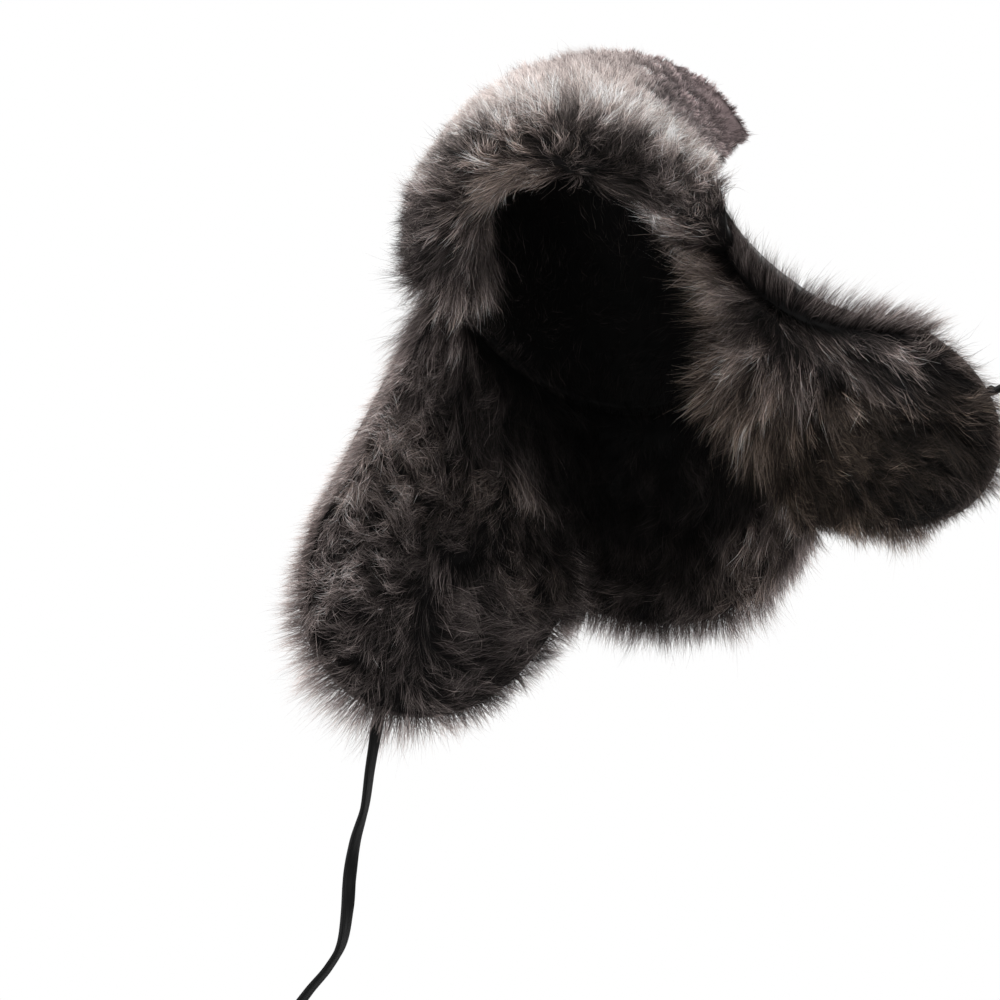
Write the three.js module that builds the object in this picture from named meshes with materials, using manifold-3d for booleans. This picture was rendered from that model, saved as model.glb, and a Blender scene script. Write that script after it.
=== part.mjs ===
// Shearling trapper hat in millimetres, +Z up, front towards -Y.
// The origin is the centre of the head opening, level with the lower edge of the crown.
// Angles run round the head in degrees: 0 is the back, +90 the +X side, -90 the -X side, 180 the front.
import * as THREE from 'three';
import { mergeVertices } from 'three/addons/utils/BufferGeometryUtils.js';
import Module from 'manifold-3d';

const wasm = await Module();
wasm.setup();

// Driving sizes
const halfWidth = 75;
const halfDepth = 115;
const crownHeight = 112;
const domePower = 2.6;
const panelCount = 6;
const panelPuff = 0.018;
const leather = 2.4;
const seamGap = 0.3;
const liningPile = 8;
const liningGap = 1.7;
const liningEdgeBack = 0.03;
const liningEdgeFront = 0.22;
const liningRamp = [9, 22];
const tieWidth = 6;
const tieThickness = 2.4;

// The piece that hangs below the crown, read round the head from one front edge to the other.
// outX and outY are how far it leans along X and Y for each unit that it drops, length is how far
// the leather reaches, pile the depth of the fur behind the locks, and bow how far its middle swells.
const skirtTable = [
  { angle: -107, outX: -0.4, outY: -0.08, length: 146, pile: 10, bow: 0 },
  { angle: -104, outX: -0.4, outY: -0.06, length: 170, pile: 11, bow: 0 },
  { angle: -97, outX: -0.37, outY: -0.02, length: 191, pile: 12, bow: 1 },
  { angle: -88, outX: -0.32, outY: 0.02, length: 202, pile: 13, bow: 2 },
  { angle: -78, outX: -0.27, outY: 0.05, length: 203, pile: 14, bow: 4 },
  { angle: -66, outX: -0.2, outY: 0.07, length: 193, pile: 14, bow: 6 },
  { angle: -54, outX: -0.15, outY: 0.08, length: 171, pile: 13, bow: 7 },
  { angle: -45, outX: -0.13, outY: 0.1, length: 143, pile: 12, bow: 7 },
  { angle: -38, outX: -0.13, outY: 0.12, length: 119, pile: 12, bow: 7 },
  { angle: -28, outX: -0.16, outY: 0.17, length: 111, pile: 12, bow: 7 },
  { angle: -14, outX: -0.12, outY: 0.24, length: 113, pile: 13, bow: 8 },
  { angle: 0, outX: -0.02, outY: 0.28, length: 115, pile: 13, bow: 8 },
  { angle: 14, outX: 0.12, outY: 0.24, length: 112, pile: 13, bow: 8 },
  { angle: 28, outX: 0.23, outY: 0.13, length: 110, pile: 14, bow: 7 },
  { angle: 38, outX: 0.3, outY: 0.02, length: 110, pile: 18, bow: 7 },
  { angle: 45, outX: 0.38, outY: -0.06, length: 132, pile: 20, bow: 7 },
  { angle: 54, outX: 0.48, outY: -0.11, length: 162, pile: 22, bow: 7 },
  { angle: 66, outX: 0.58, outY: -0.13, length: 182, pile: 22, bow: 6 },
  { angle: 78, outX: 0.69, outY: -0.13, length: 183, pile: 21, bow: 5 },
  { angle: 88, outX: 0.79, outY: -0.12, length: 168, pile: 18, bow: -5 },
  { angle: 94, outX: 0.84, outY: -0.11, length: 149, pile: 14, bow: -13 },
  { angle: 97, outX: 0.85, outY: -0.11, length: 130, pile: 11, bow: -17 },
];
const leftFrontEdge = -107;
const rightFrontEdge = 97;
const notch = 38;
const notchGap = 0.2;

// The turned-up peak, from its low -X end to the high wing on the +X side.
// root and tip are the angles of its lower and upper edge, height its upper edge, flare its stand-off
// there, and pile the depth of the fur behind the locks.
const peakTable = [
  { across: 0, root: 250, tip: 251, height: 5, flare: 0, pile: 7 },
  { across: 0.1, root: 240, tip: 241, height: 5, flare: 0, pile: 8 },
  { across: 0.2, root: 226, tip: 227, height: 6, flare: 0, pile: 9 },
  { across: 0.3, root: 212, tip: 212, height: 10, flare: 0, pile: 10 },
  { across: 0.4, root: 196, tip: 196, height: 20, flare: 1, pile: 12 },
  { across: 0.5, root: 182, tip: 181, height: 36, flare: 0, pile: 13 },
  { across: 0.6, root: 168, tip: 165, height: 53, flare: 0, pile: 13 },
  { across: 0.7, root: 154, tip: 148, height: 72, flare: 3, pile: 13 },
  { across: 0.8, root: 140, tip: 127, height: 84, flare: 12, pile: 13 },
  { across: 0.9, root: 126, tip: 109, height: 78, flare: 20, pile: 11 },
  { across: 1, root: 118, tip: 103, height: 44, flare: 20, pile: 8 },
];
// The roll of fur under the rim goes on past the end of the peak. inside is its depth towards the
// head and below the rim, outside its depth on the outer face of the crown.
const rollTable = [
  { angle: 98, inside: 18, outside: 2 },
  { angle: 112, inside: 18, outside: 3 },
  { angle: 124, inside: 17, outside: 12 },
  { angle: 140, inside: 17, outside: 15 },
  { angle: 182, inside: 17, outside: 14 },
  { angle: 205, inside: 18, outside: 11 },
  { angle: 228, inside: 21, outside: 8 },
  { angle: 250, inside: 21, outside: 7 },
];
const rollRadius = 5;
const rollCentre = -0.1;
const rollDrop = 3;
const rollInside = 11;
const rollOutside = 10;
const peakStandOff = 3.9;
const peakFoot = 0.05;
const peakLean = 0.35;
const flarePower = 2.4;

// Locks of fur, row by row. along is the place on the piece, flow the length towards its free edge,
// sweep the length round the head, lift the rise off the fur behind, and curl the spread, all by hand.
const leftRows = [
  { along: 0.13, count: 4, flow: 36, sweep: 8, lift: 22, curl: 7, width: 27 },
  { along: 0.34, count: 4, flow: 38, sweep: 0, lift: 12, curl: 9, width: 27 },
  { along: 0.52, count: 5, flow: 36, sweep: -6, lift: 12, curl: 10, width: 26 },
  { along: 0.7, count: 5, flow: 36, sweep: -8, lift: 11, curl: 10, width: 26 },
  { along: 0.86, count: 6, flow: 34, sweep: -6, lift: 8, curl: 9, width: 24 },
  { along: 0.96, count: 7, flow: 25, sweep: -3, lift: 2, curl: 6, width: 19 },
];
const rightRows = [
  { along: 0.08, count: 5, flow: 40, sweep: -12, lift: 36, curl: 6, width: 25 },
  { along: 0.3, count: 4, flow: 48, sweep: -18, lift: 16, curl: 7, width: 25 },
  { along: 0.48, count: 5, flow: 48, sweep: -14, lift: 13, curl: 8, width: 24 },
  { along: 0.66, count: 4, flow: 46, sweep: -8, lift: 11, curl: 8, width: 24 },
  { along: 0.84, count: 6, flow: 40, sweep: -2, lift: 7, curl: 7, width: 22 },
  { along: 0.96, count: 7, flow: 28, sweep: 0, lift: 2, curl: 6, width: 18 },
];
const neckRows = [
  { along: 0.25, count: 4, flow: 34, sweep: 0, lift: 10, curl: 6, width: 25 },
  { along: 0.6, count: 5, flow: 34, sweep: 0, lift: 10, curl: 6, width: 25 },
  { along: 0.92, count: 8, flow: 27, sweep: 0, lift: 4, curl: 5, width: 19 },
];
const peakRows = [
  { along: 0.4, count: 6, flow: 28, sweep: 10, lift: 10, curl: 6, width: 25 },
  { along: 0.92, count: 10, flow: 22, sweep: 7, lift: 2, curl: 5, width: 19 },
];
const rollRows = [
  { along: 0.25, count: 8, flow: -30, sweep: -4, lift: 13, curl: 6, width: 24 },
  { along: 0.5, count: 8, flow: 17, sweep: 4, lift: 4, curl: 5, width: 24 },
];
// Locks that reach out past the front edges of the ear flaps
const edgeRow = { count: 6, flow: 14, sweep: 25, lift: 1, curl: 4, width: 19 };
const lockDepth = 7;
const lockRoot = 0.6;
const rootVolume = 20;
const rootSunk = 0.72;
const freeEdgePile = 0.45;
const pileTaper = 0.18;
const peakFurBack = 0.3;
const peakSunk = 7;

// The two laces, from the edge of the leather to the knot, at places chosen by hand
const tieRoutes = {
  left: [
    [-125.7, 32.8, -196.9],
    [-127, 32.8, -206],
    [-129.5, 32.8, -226],
    [-131.5, 32.8, -245.5],
    [-135.5, 32.8, -261.5],
    [-137.5, 32.8, -278],
    [-138, 32.8, -294],
    [-140, 32.8, -310],
    [-146, 32.8, -320.5],
    [-155, 32.8, -330],
    [-162.5, 32.8, -340],
    [-166.5, 32.8, -352],
    [-168, 32.8, -366],
    [-168.5, 32.8, -382],
  ],
  right: [
    [177.7, -14, -128.9],
    [180.5, -15, -131],
    [187, -19, -132],
    [195, -24.5, -132.5],
    [201.5, -29, -137],
    [205.5, -31.5, -146],
    [207, -32.5, -158],
    [207.5, -33, -175],
    [207.5, -33, -200],
    [207, -33, -225],
    [206.5, -33, -250],
    [206.5, -33, -275],
    [206.5, -33, -296],
  ],
};
const tieSteps = 16;
const tieClearance = 7;
const tieSamples = Object.values(tieRoutes).flatMap((route) =>
  new THREE.CatmullRomCurve3(route.map((place) => new THREE.Vector3(...place))).getPoints(60));
const knotRadius = 2.6;
const knotWire = 1.9;
const knotTail = 16;
const knotTurns = [{ at: 2.6, tilt: 0.25 }, { at: 5.8, tilt: -0.25 }];

const materials = {
  leather: { color: 0x191b18, roughness: 0.42, metalness: 0 },
  lining: { color: 0x14100f, roughness: 0.95, metalness: 0 },
  fur: { color: 0x4a403c, roughness: 0.9, metalness: 0 },
  paleFur: { color: 0xb9aea8, roughness: 0.9, metalness: 0 },
  lace: { color: 0x0e0e0f, roughness: 0.55, metalness: 0 },
};

// A smooth value from one column of a table, through every row
function fromTable(table, key, at, column) {
  let row = 1;
  while (row < table.length - 1 && at > table[row][key]) row += 1;
  const low = table[row - 1];
  const high = table[row];
  const before = table[Math.max(row - 2, 0)];
  const after = table[Math.min(row + 1, table.length - 1)];
  const span = high[key] - low[key];
  const slope = (a, b) => (b[key] === a[key] ? 0 : (b[column] - a[column]) / (b[key] - a[key]));
  const share = THREE.MathUtils.clamp((at - low[key]) / span, 0, 1);
  const cube = share ** 3;
  const square = share ** 2;
  return (2 * cube - 3 * square + 1) * low[column]
    + (cube - 2 * square + share) * span * slope(before, high)
    + (3 * square - 2 * cube) * high[column]
    + (cube - square) * span * slope(low, after);
}

// The same random draws on every run
let randomState = 20113;
function draw(low, high) {
  randomState = (randomState * 48271) % 2147483647;
  return low + (high - low) * (randomState / 2147483647);
}

const radians = THREE.MathUtils.degToRad;
const { lerp } = THREE.MathUtils;

// Faces between two rows of vertices that have the same length
function stitch(faces, near, far) {
  for (let i = 0; i + 1 < near.length; i += 1) {
    faces.push([near[i], near[i + 1], far[i + 1]], [near[i], far[i + 1], far[i]]);
  }
}

// The same split of each four-sided face, turned to face the other way
function stitchBack(faces, near, far) {
  for (let i = 0; i + 1 < near.length; i += 1) {
    faces.push([near[i], far[i + 1], near[i + 1]], [near[i], far[i], far[i + 1]]);
  }
}

// A closed body between two skins, each a function of two shares from 0 to 1.
// A ring wall meets itself round the first share; an apex gathers the end of the second.
function wall(outerSkin, innerSkin, across, along, { ring = false, apex = false } = {}) {
  const points = [];
  const faces = [];
  const gridOf = (skin) => {
    const rows = [];
    for (let j = 0; j <= along; j += 1) {
      const single = apex && j === along;
      const row = [];
      for (let i = 0; i < (ring ? across : across + 1); i += 1) {
        if (!single || i === 0) points.push(skin(i / across, j / along));
        row.push(points.length - 1);
      }
      if (ring) row.push(row[0]);
      rows.push(row);
    }
    return rows;
  };
  const outer = gridOf(outerSkin);
  const inner = gridOf(innerSkin);
  for (let j = 0; j < along; j += 1) {
    stitch(faces, outer[j], outer[j + 1]);
    stitchBack(faces, inner[j], inner[j + 1]);
  }
  stitch(faces, inner[0], outer[0]);
  if (!apex) stitch(faces, outer[along], inner[along]);
  if (!ring) {
    stitch(faces, outer.map((row) => row[0]), inner.map((row) => row[0]));
    stitch(faces, inner.map((row) => row[across]), outer.map((row) => row[across]));
  }
  return closedGeometry(points, faces);
}

// Vertices and faces as a geometry whose faces point out
function closedGeometry(points, faces) {
  const kept = faces.filter(([a, b, c]) => a !== b && b !== c && a !== c);
  const volume = kept.reduce((sum, [a, b, c]) =>
    sum + points[a].dot(new THREE.Vector3().crossVectors(points[b], points[c])), 0);
  const index = kept.flatMap(([a, b, c]) => (volume > 0 ? [a, b, c] : [a, c, b]));
  const geometry = new THREE.BufferGeometry().setFromPoints(points);
  geometry.setIndex(index);
  geometry.computeVertexNormals();
  return geometry;
}

function toSolid(geometry) {
  const bare = geometry.clone();
  bare.deleteAttribute('normal');
  bare.deleteAttribute('uv');
  const merged = mergeVertices(bare, 1e-4);
  return new wasm.Manifold(new wasm.Mesh({
    numProp: 3,
    vertProperties: merged.attributes.position.array,
    triVerts: merged.index.array,
  }));
}

function fromSolid(solid) {
  const { vertProperties, triVerts } = solid.getMesh();
  const geometry = new THREE.BufferGeometry();
  geometry.setAttribute('position', new THREE.BufferAttribute(vertProperties, 3));
  geometry.setIndex(new THREE.BufferAttribute(triVerts, 1));
  geometry.computeVertexNormals();
  return geometry;
}

function fuse(geometries) {
  return fromSolid(geometries.map(toSolid).reduce((whole, piece) => whole.add(piece)));
}

// A pile with the locks that are rooted in it by at least rootVolume cubic millimetres
function fuseFur(piles, locks) {
  const pile = piles.map(toSolid).reduce((whole, piece) => whole.add(piece));
  const rooted = locks.map(toSolid).filter((lockSolid) => lockSolid.intersect(pile).volume() > rootVolume);
  return fromSolid(rooted.reduce((whole, lockSolid) => whole.add(lockSolid), pile));
}

// The lower edge of the crown and the direction that faces out of it
function rimPoint(angle) {
  const turn = radians(angle);
  return new THREE.Vector3(halfWidth * Math.sin(turn), halfDepth * Math.cos(turn), 0);
}

function rimOut(angle) {
  const turn = radians(angle);
  return new THREE.Vector3(Math.sin(turn) / halfWidth, Math.cos(turn) / halfDepth, 0).normalize();
}

// The dome narrows as its height to a power, and each panel swells a little between its seams
function domeShare(height) {
  return Math.max(1 - height / crownHeight, 0) ** (1 / domePower);
}

function domePoint(angle, rise, inset) {
  const turn = radians(angle);
  const share = Math.cos(rise * Math.PI / 2);
  const puff = 1 + panelPuff * (Math.abs(Math.sin(turn * panelCount / 2)) - 1) * Math.sin(rise * Math.PI);
  return new THREE.Vector3(
    (halfWidth - inset) * share * puff * Math.sin(turn),
    (halfDepth - inset) * share * puff * Math.cos(turn),
    (crownHeight - inset) * (1 - share ** domePower),
  );
}

// The lining starts higher at the front, above the fur that rolls in under the rim
function liningPoint(angle, share, inset) {
  const beforeRoll = Math.max(rollTable[0].angle - angle, angle - rollTable.at(-1).angle);
  const edge = lerp(
    liningEdgeFront,
    liningEdgeBack,
    THREE.MathUtils.smoothstep(beforeRoll, ...liningRamp),
  );
  return domePoint(angle, lerp(edge, 1, share), inset);
}

// The hanging piece: straight lines down from the rim, bowed out a little in the middle.
// depth moves the point off the sheet, outwards where it is positive.
function skirtPoint(angle, share, depth) {
  const on = skirtSheet(angle, share);
  const step = 0.4;
  const round = skirtSheet(angle + step, share).sub(skirtSheet(angle - step, share));
  const down = skirtSheet(angle, share + 0.01).sub(skirtSheet(angle, share - 0.01));
  const out = new THREE.Vector3().crossVectors(round, down).normalize();
  return { point: on.addScaledVector(out, depth), out, round: round.normalize(), down: down.normalize() };
}

function skirtSheet(angle, share) {
  const lean = new THREE.Vector3(
    fromTable(skirtTable, 'angle', angle, 'outX'),
    fromTable(skirtTable, 'angle', angle, 'outY'),
    -1,
  ).normalize();
  const reach = fromTable(skirtTable, 'angle', angle, 'length') * share;
  const bow = fromTable(skirtTable, 'angle', angle, 'bow') * Math.sin(Math.PI * Math.min(share, 1));
  const start = seamGap + leather / 2 * Math.hypot(lean.x, lean.y);
  return rimPoint(angle)
    .addScaledVector(rimOut(angle), bow - leather / 2)
    .addScaledVector(lean, reach + start);
}

// The roll of fur under the rim: down its inside, round below it and a little way up its outside
function rollPoint(angle, along, depth) {
  const under = Math.PI * rollRadius;
  const inner = rollInside + rollDrop;
  const travel = along * (inner + under + rollDrop + rollOutside);
  const swing = THREE.MathUtils.clamp((travel - inner) / rollRadius, 0, Math.PI);
  const beyond = Math.max(travel - inner - under, 0);
  const height = rollInside - Math.min(travel, inner) - rollRadius * Math.sin(swing) + beyond;
  const narrowing = domeShare(Math.max(height, 0));
  const out = rimOut(angle);
  const facing = out.clone().multiplyScalar(-Math.cos(swing)).setZ(-Math.sin(swing)).normalize();
  const point = rimPoint(angle).multiplyScalar(narrowing)
    .addScaledVector(out, rollCentre - rollRadius * Math.cos(swing))
    .setZ(height);
  return { point: point.addScaledVector(facing, depth), out: facing };
}

// The peak climbs the outside of the dome and stands off it more towards its upper edge.
// depth moves the point outwards from the leather's outer face.
function peakPoint(across, share, depth) {
  const row = (column) => fromTable(peakTable, 'across', across, column);
  const climb = lerp(-rollDrop, row('height'), lerp(peakFoot, 1, share));
  const angle = lerp(row('root'), row('tip'), share);
  const out = rimOut(angle);
  const facing = out.clone().setZ(peakLean * share).normalize();
  const foot = rimPoint(angle).multiplyScalar(domeShare(Math.max(climb, 0)));
  const standOff = peakStandOff + row('flare') * share ** flarePower;
  return {
    point: foot.addScaledVector(out, standOff).setZ(climb).addScaledVector(facing, depth),
    out: facing,
  };
}

// A lock of fur: a tapered, bent spike with a diamond section, from a root sunk into the fur behind it.
// side is the way that it is wide.
function lock({ root, first, second, side, width, depth }) {
  const middle = root.clone().add(first);
  const tip = middle.clone().add(second);
  const points = [];
  const ring = (centre, forward, size) => {
    const wide = side.clone().addScaledVector(forward, -side.dot(forward)).normalize();
    const deep = new THREE.Vector3().crossVectors(forward, wide);
    const half = width / 2 * size;
    const thick = depth / 2 * size;
    points.push(
      centre.clone().addScaledVector(wide, half),
      centre.clone().addScaledVector(deep, thick),
      centre.clone().addScaledVector(wide, -half),
      centre.clone().addScaledVector(deep, -thick),
    );
  };
  ring(root, first.clone().normalize(), lockRoot);
  ring(middle, tip.clone().sub(root).normalize(), 1);
  points.push(tip);
  const near = [0, 1, 2, 3, 0];
  const far = [4, 5, 6, 7, 4];
  const faces = [[0, 1, 2], [0, 2, 3]];
  stitch(faces, far, near);
  for (let i = 0; i < 4; i += 1) faces.push([far[i + 1], far[i], 8]);
  return closedGeometry(points, faces);
}

// Locks stay clear of the laces that come out between them
function clearOfTies(spike) {
  const { position } = spike.attributes;
  const corner = new THREE.Vector3();
  for (let i = 0; i < position.count; i += 1) {
    corner.fromBufferAttribute(position, i);
    if (tieSamples.some((point) => point.distanceTo(corner) < tieClearance)) return false;
  }
  return true;
}

// A lock also keeps out of every piece that was made before it and out of the other piles
const made = [];
function clearOf(pieces) {
  return (spike) => {
    const solid = toSolid(spike);
    return pieces.every((piece) => solid.intersect(piece).volume() === 0);
  };
}

function named(name, material, geometry) {
  const mesh = new THREE.Mesh(geometry, new THREE.MeshStandardMaterial(materials[material]));
  mesh.name = name;
  made.push(toSolid(geometry));
  return mesh;
}

// Rows of locks over a piece. frameAt gives a place on it from a share across and a share along.
// flow is the length along the piece, sweep its sideways part, lift its rise off the fur, curl its spread.
function locksOver(frameAt, rows, others = []) {
  return rows.flatMap((row) => Array.from({ length: row.count }, (_, i) => {
    const across = (i + 0.5 + draw(-0.3, 0.3)) / row.count;
    const { point, away, flow, sweep } = frameAt(across, row.along + draw(-0.02, 0.02));
    const stretch = draw(0.85, 1.15);
    const travel = flow.clone().multiplyScalar(row.flow * stretch)
      .addScaledVector(sweep, (row.sweep + draw(-row.curl, row.curl)) * stretch);
    const first = travel.clone().multiplyScalar(0.5).addScaledVector(away, row.lift);
    const second = travel.multiplyScalar(0.5)
      .addScaledVector(away, row.lift * -0.2)
      .addScaledVector(sweep, draw(-row.curl, row.curl));
    return lock({ root: point, first, second, side: sweep, width: row.width, depth: lockDepth });
  })).filter(clearOfTies).filter(clearOf([...made, ...others]));
}

// The leather and the fur of one stretch of the hanging piece
function skirtLeather([from, to], across, along) {
  const skin = (depth) => (u, v) => skirtPoint(lerp(from, to, u), v, depth).point;
  return wall(skin(leather / 2), skin(-leather / 2), across, along);
}

const furBack = leather / 2 + seamGap;

// The pile is thinner at both ends of the piece
function pileAt(angle, share) {
  const thin = Math.min(1, lerp(freeEdgePile, 1, (1 - share) / pileTaper), lerp(0.5, 1, share / 0.1));
  return fromTable(skirtTable, 'angle', angle, 'pile') * thin;
}

function skirtPile([from, to], across, along) {
  return wall(
    (u, v) => skirtPoint(lerp(from, to, u), v, -furBack).point,
    (u, v) => skirtPoint(lerp(from, to, u), v, -furBack - pileAt(lerp(from, to, u), v)).point,
    across,
    along,
  );
}

// A place in the pile of the hanging piece, with its directions into the head, down and round
function skirtFrame([from, to]) {
  return (across, share) => {
    const angle = lerp(from, to, across);
    const sunk = furBack + pileAt(angle, share) * rootSunk;
    const { point, out, round, down } = skirtPoint(angle, share, -sunk);
    return { point, away: out.negate(), flow: down, sweep: round };
  };
}

// Locks down a front edge, which turn out past it
function edgeLocks(edge, inwards, others) {
  const strip = skirtFrame([edge, edge + 3 * inwards]);
  const frameAt = (across) => strip(0.5, lerp(0.12, 0.86, across));
  return locksOver(frameAt, [{ ...edgeRow, along: 0, sweep: -edgeRow.sweep * inwards }], others);
}

function skirtFur(name, pile, locks) {
  return named(name, 'fur', fuseFur([pile], locks));
}

function peakPileAt(across, share) {
  return peakFurBack + fromTable(peakTable, 'across', across, 'pile') * (1 - 0.5 * share ** 3);
}

// A place in the fur of the peak, with its directions off the leather, up and round
function peakFrame(across, share) {
  const { point, out } = peakPoint(across, share, peakFurBack + peakSunk);
  const up = peakPoint(across, share + 0.02, peakSunk).point.sub(peakPoint(across, share - 0.02, peakSunk).point);
  const sweep = new THREE.Vector3().crossVectors(up, out).normalize();
  return { point, away: out, flow: up.normalize(), sweep };
}

function rollAngle(across) {
  return lerp(rollTable[0].angle, rollTable.at(-1).angle, across);
}

function rollPileAt(angle, along) {
  const inside = fromTable(rollTable, 'angle', angle, 'inside');
  const outside = fromTable(rollTable, 'angle', angle, 'outside');
  const end = 1 - 0.5 * Math.abs(2 * along - 1) ** 4;
  return lerp(inside, outside, THREE.MathUtils.smoothstep(along, 0.3, 0.6)) * end;
}

// The same for the roll, from its +X end round the front to its -X end
function rollFrame(across, along) {
  const angle = rollAngle(across);
  const { point, out } = rollPoint(angle, along, peakSunk);
  const sweep = rollPoint(angle + 1, along, peakSunk).point.sub(rollPoint(angle - 1, along, peakSunk).point);
  const flow = new THREE.Vector3().crossVectors(out, sweep).normalize();
  return { point, away: out, flow, sweep: sweep.normalize() };
}

// The laces are flat, with rounded edges
function tie(name, route) {
  const section = new THREE.Shape(Array.from({ length: 8 }, (_, i) => {
    const turn = radians(22.5 + 45 * i);
    const corner = 1 / Math.cos(radians(22.5));
    return new THREE.Vector2(
      tieThickness / 2 * corner * Math.cos(turn),
      tieWidth / 2 * corner * Math.sin(turn),
    );
  }));
  return named(name, 'lace', new THREE.ExtrudeGeometry(section, {
    steps: tieSteps,
    bevelEnabled: false,
    extrudePath: new THREE.CatmullRomCurve3(route.map((place) => new THREE.Vector3(...place))),
  }));
}

// Two turns of the lace round itself and its cut end, past the end of the route
function knot(name, route) {
  const end = new THREE.Vector3(...route.at(-1));
  const way = end.clone().sub(new THREE.Vector3(...route.at(-2))).normalize();
  const turns = knotTurns.map(({ at, tilt }) => {
    const turn = new THREE.TorusGeometry(knotRadius, knotWire, 6, 10);
    return turn.rotateX(tilt).translate(0, 0, at);
  });
  const core = new THREE.CylinderGeometry(knotRadius, knotRadius, knotTurns[1].at, 10);
  core.rotateX(Math.PI / 2).translate(0, 0, (knotTurns[0].at + knotTurns[1].at) / 2);
  const tail = new THREE.BoxGeometry(tieThickness, tieWidth, knotTail);
  tail.translate(0, 0, knotTurns[1].at + knotTail / 2);
  const facing = new THREE.Quaternion().setFromUnitVectors(new THREE.Vector3(0, 0, 1), way);
  const mesh = named(name, 'lace', fuse([...turns, core, tail]));
  mesh.quaternion.copy(facing);
  mesh.position.copy(end);
  return mesh;
}

// The neck's fur is made last of the three, and its locks fit between those of the ear flaps
const leftSpan = [leftFrontEdge, -notch - notchGap];
const neckSpan = [-notch, notch];
const rightSpan = [notch + notchGap, rightFrontEdge];

const leftPile = skirtPile(leftSpan, 12, 7);
const neckPile = skirtPile(neckSpan, 10, 5);
const rightPile = skirtPile(rightSpan, 12, 7);

const hat = new THREE.Group();
hat.add(
  named('crown_shell', 'leather', wall(
    (u, v) => domePoint(u * 360, v, 0),
    (u, v) => domePoint(u * 360, v, leather),
    30,
    7,
    { ring: true, apex: true },
  )),
  named('crown_lining', 'lining', wall(
    (u, v) => liningPoint(u * 360, v, leather + liningGap),
    (u, v) => liningPoint(u * 360, v, leather + liningGap + liningPile),
    24,
    4,
    { ring: true, apex: true },
  )),
  named('left_ear_flap', 'leather', skirtLeather(leftSpan, 12, 7)),
  named('neck_flap', 'leather', skirtLeather(neckSpan, 10, 5)),
  named('right_ear_flap', 'leather', skirtLeather(rightSpan, 12, 7)),
  named('front_peak', 'leather', wall(
    (u, v) => peakPoint(u, v, 0).point,
    (u, v) => peakPoint(u, v, -leather).point,
    18,
    5,
  )),
  tie('left_tie', tieRoutes.left),
  tie('right_tie', tieRoutes.right),
  knot('left_tie_knot', tieRoutes.left),
  knot('right_tie_knot', tieRoutes.right),
  named('peak_fur', 'paleFur', fuseFur([
    wall(
      (u, v) => rollPoint(rollAngle(u), v, rollPileAt(rollAngle(u), v)).point,
      (u, v) => rollPoint(rollAngle(u), v, 0).point,
      18,
      8,
    ),
    wall(
      (u, v) => peakPoint(u, v, peakPileAt(u, v)).point,
      (u, v) => peakPoint(u, v, peakFurBack).point,
      18,
      5,
    ),
  ], [
    ...locksOver(peakFrame, peakRows),
    ...locksOver(rollFrame, rollRows),
  ])),
);
hat.add(skirtFur('left_flap_fur', leftPile, [
  ...locksOver(skirtFrame(leftSpan), leftRows, [toSolid(neckPile)]),
  ...edgeLocks(leftFrontEdge, 1, []),
]));
hat.add(skirtFur('right_flap_fur', rightPile, [
  ...locksOver(skirtFrame(rightSpan), rightRows, [toSolid(neckPile)]),
  ...edgeLocks(rightFrontEdge, -1, []),
]));
hat.add(skirtFur('neck_fur', neckPile, locksOver(skirtFrame(neckSpan), neckRows)));

export default hat;
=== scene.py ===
# Shearling trapper hat: leather outside, long fur inside, laces at the ends of the ear flaps.
# Metres, +Z up, front towards -Y. Tables and sizes of the surfaces are in millimetres.
import bpy
import numpy as np
from mathutils import Matrix, Vector


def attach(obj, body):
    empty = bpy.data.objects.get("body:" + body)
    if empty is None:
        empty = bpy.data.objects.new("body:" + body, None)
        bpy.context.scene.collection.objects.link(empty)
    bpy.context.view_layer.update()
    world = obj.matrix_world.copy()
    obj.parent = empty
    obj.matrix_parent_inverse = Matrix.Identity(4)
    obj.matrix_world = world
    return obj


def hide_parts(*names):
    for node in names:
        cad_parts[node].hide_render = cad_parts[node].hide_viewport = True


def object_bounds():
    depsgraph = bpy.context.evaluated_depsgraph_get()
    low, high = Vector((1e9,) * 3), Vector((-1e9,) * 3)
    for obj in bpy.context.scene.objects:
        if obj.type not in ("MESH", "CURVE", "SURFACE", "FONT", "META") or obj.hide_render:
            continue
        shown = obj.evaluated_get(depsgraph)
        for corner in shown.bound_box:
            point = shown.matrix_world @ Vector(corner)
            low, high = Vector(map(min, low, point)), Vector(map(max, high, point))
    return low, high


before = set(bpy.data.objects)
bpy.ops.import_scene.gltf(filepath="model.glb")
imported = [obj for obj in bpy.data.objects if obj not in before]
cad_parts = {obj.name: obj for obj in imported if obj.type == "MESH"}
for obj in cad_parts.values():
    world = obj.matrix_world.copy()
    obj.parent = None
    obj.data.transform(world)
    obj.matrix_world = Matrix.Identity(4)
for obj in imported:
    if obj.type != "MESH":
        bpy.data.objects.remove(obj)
cadLow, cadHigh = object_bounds()
scene = bpy.context.scene
mm = 0.001


# Camera and light

cameraView = {
    "azimuth": 22,
    "elevation": -35,
    "distance": 1.06,
    "mmPerPixel": 0.49,
    "crownPixel": (598, 282),  # where the origin of the hat lies in the picture
    "pictureSize": 1000,
    "sensor": 36,
}


def cameraAxes(view):
    # Looks along a fixed direction, moved sideways until the origin lies on its pixel
    turn, tilt = np.radians(view["azimuth"]), np.radians(view["elevation"])
    right = np.array([np.cos(turn), np.sin(turn), 0])
    back = np.array([np.sin(turn) * np.cos(tilt), -np.cos(turn) * np.cos(tilt), np.sin(tilt)])
    up = np.cross(back, right)
    half = view["pictureSize"] / 2
    perPixel = view["mmPerPixel"] * mm
    aside = (view["crownPixel"][0] - half) * perPixel
    above = (half - view["crownPixel"][1]) * perPixel
    return right, up, back, back * view["distance"] - right * aside - up * above


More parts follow.
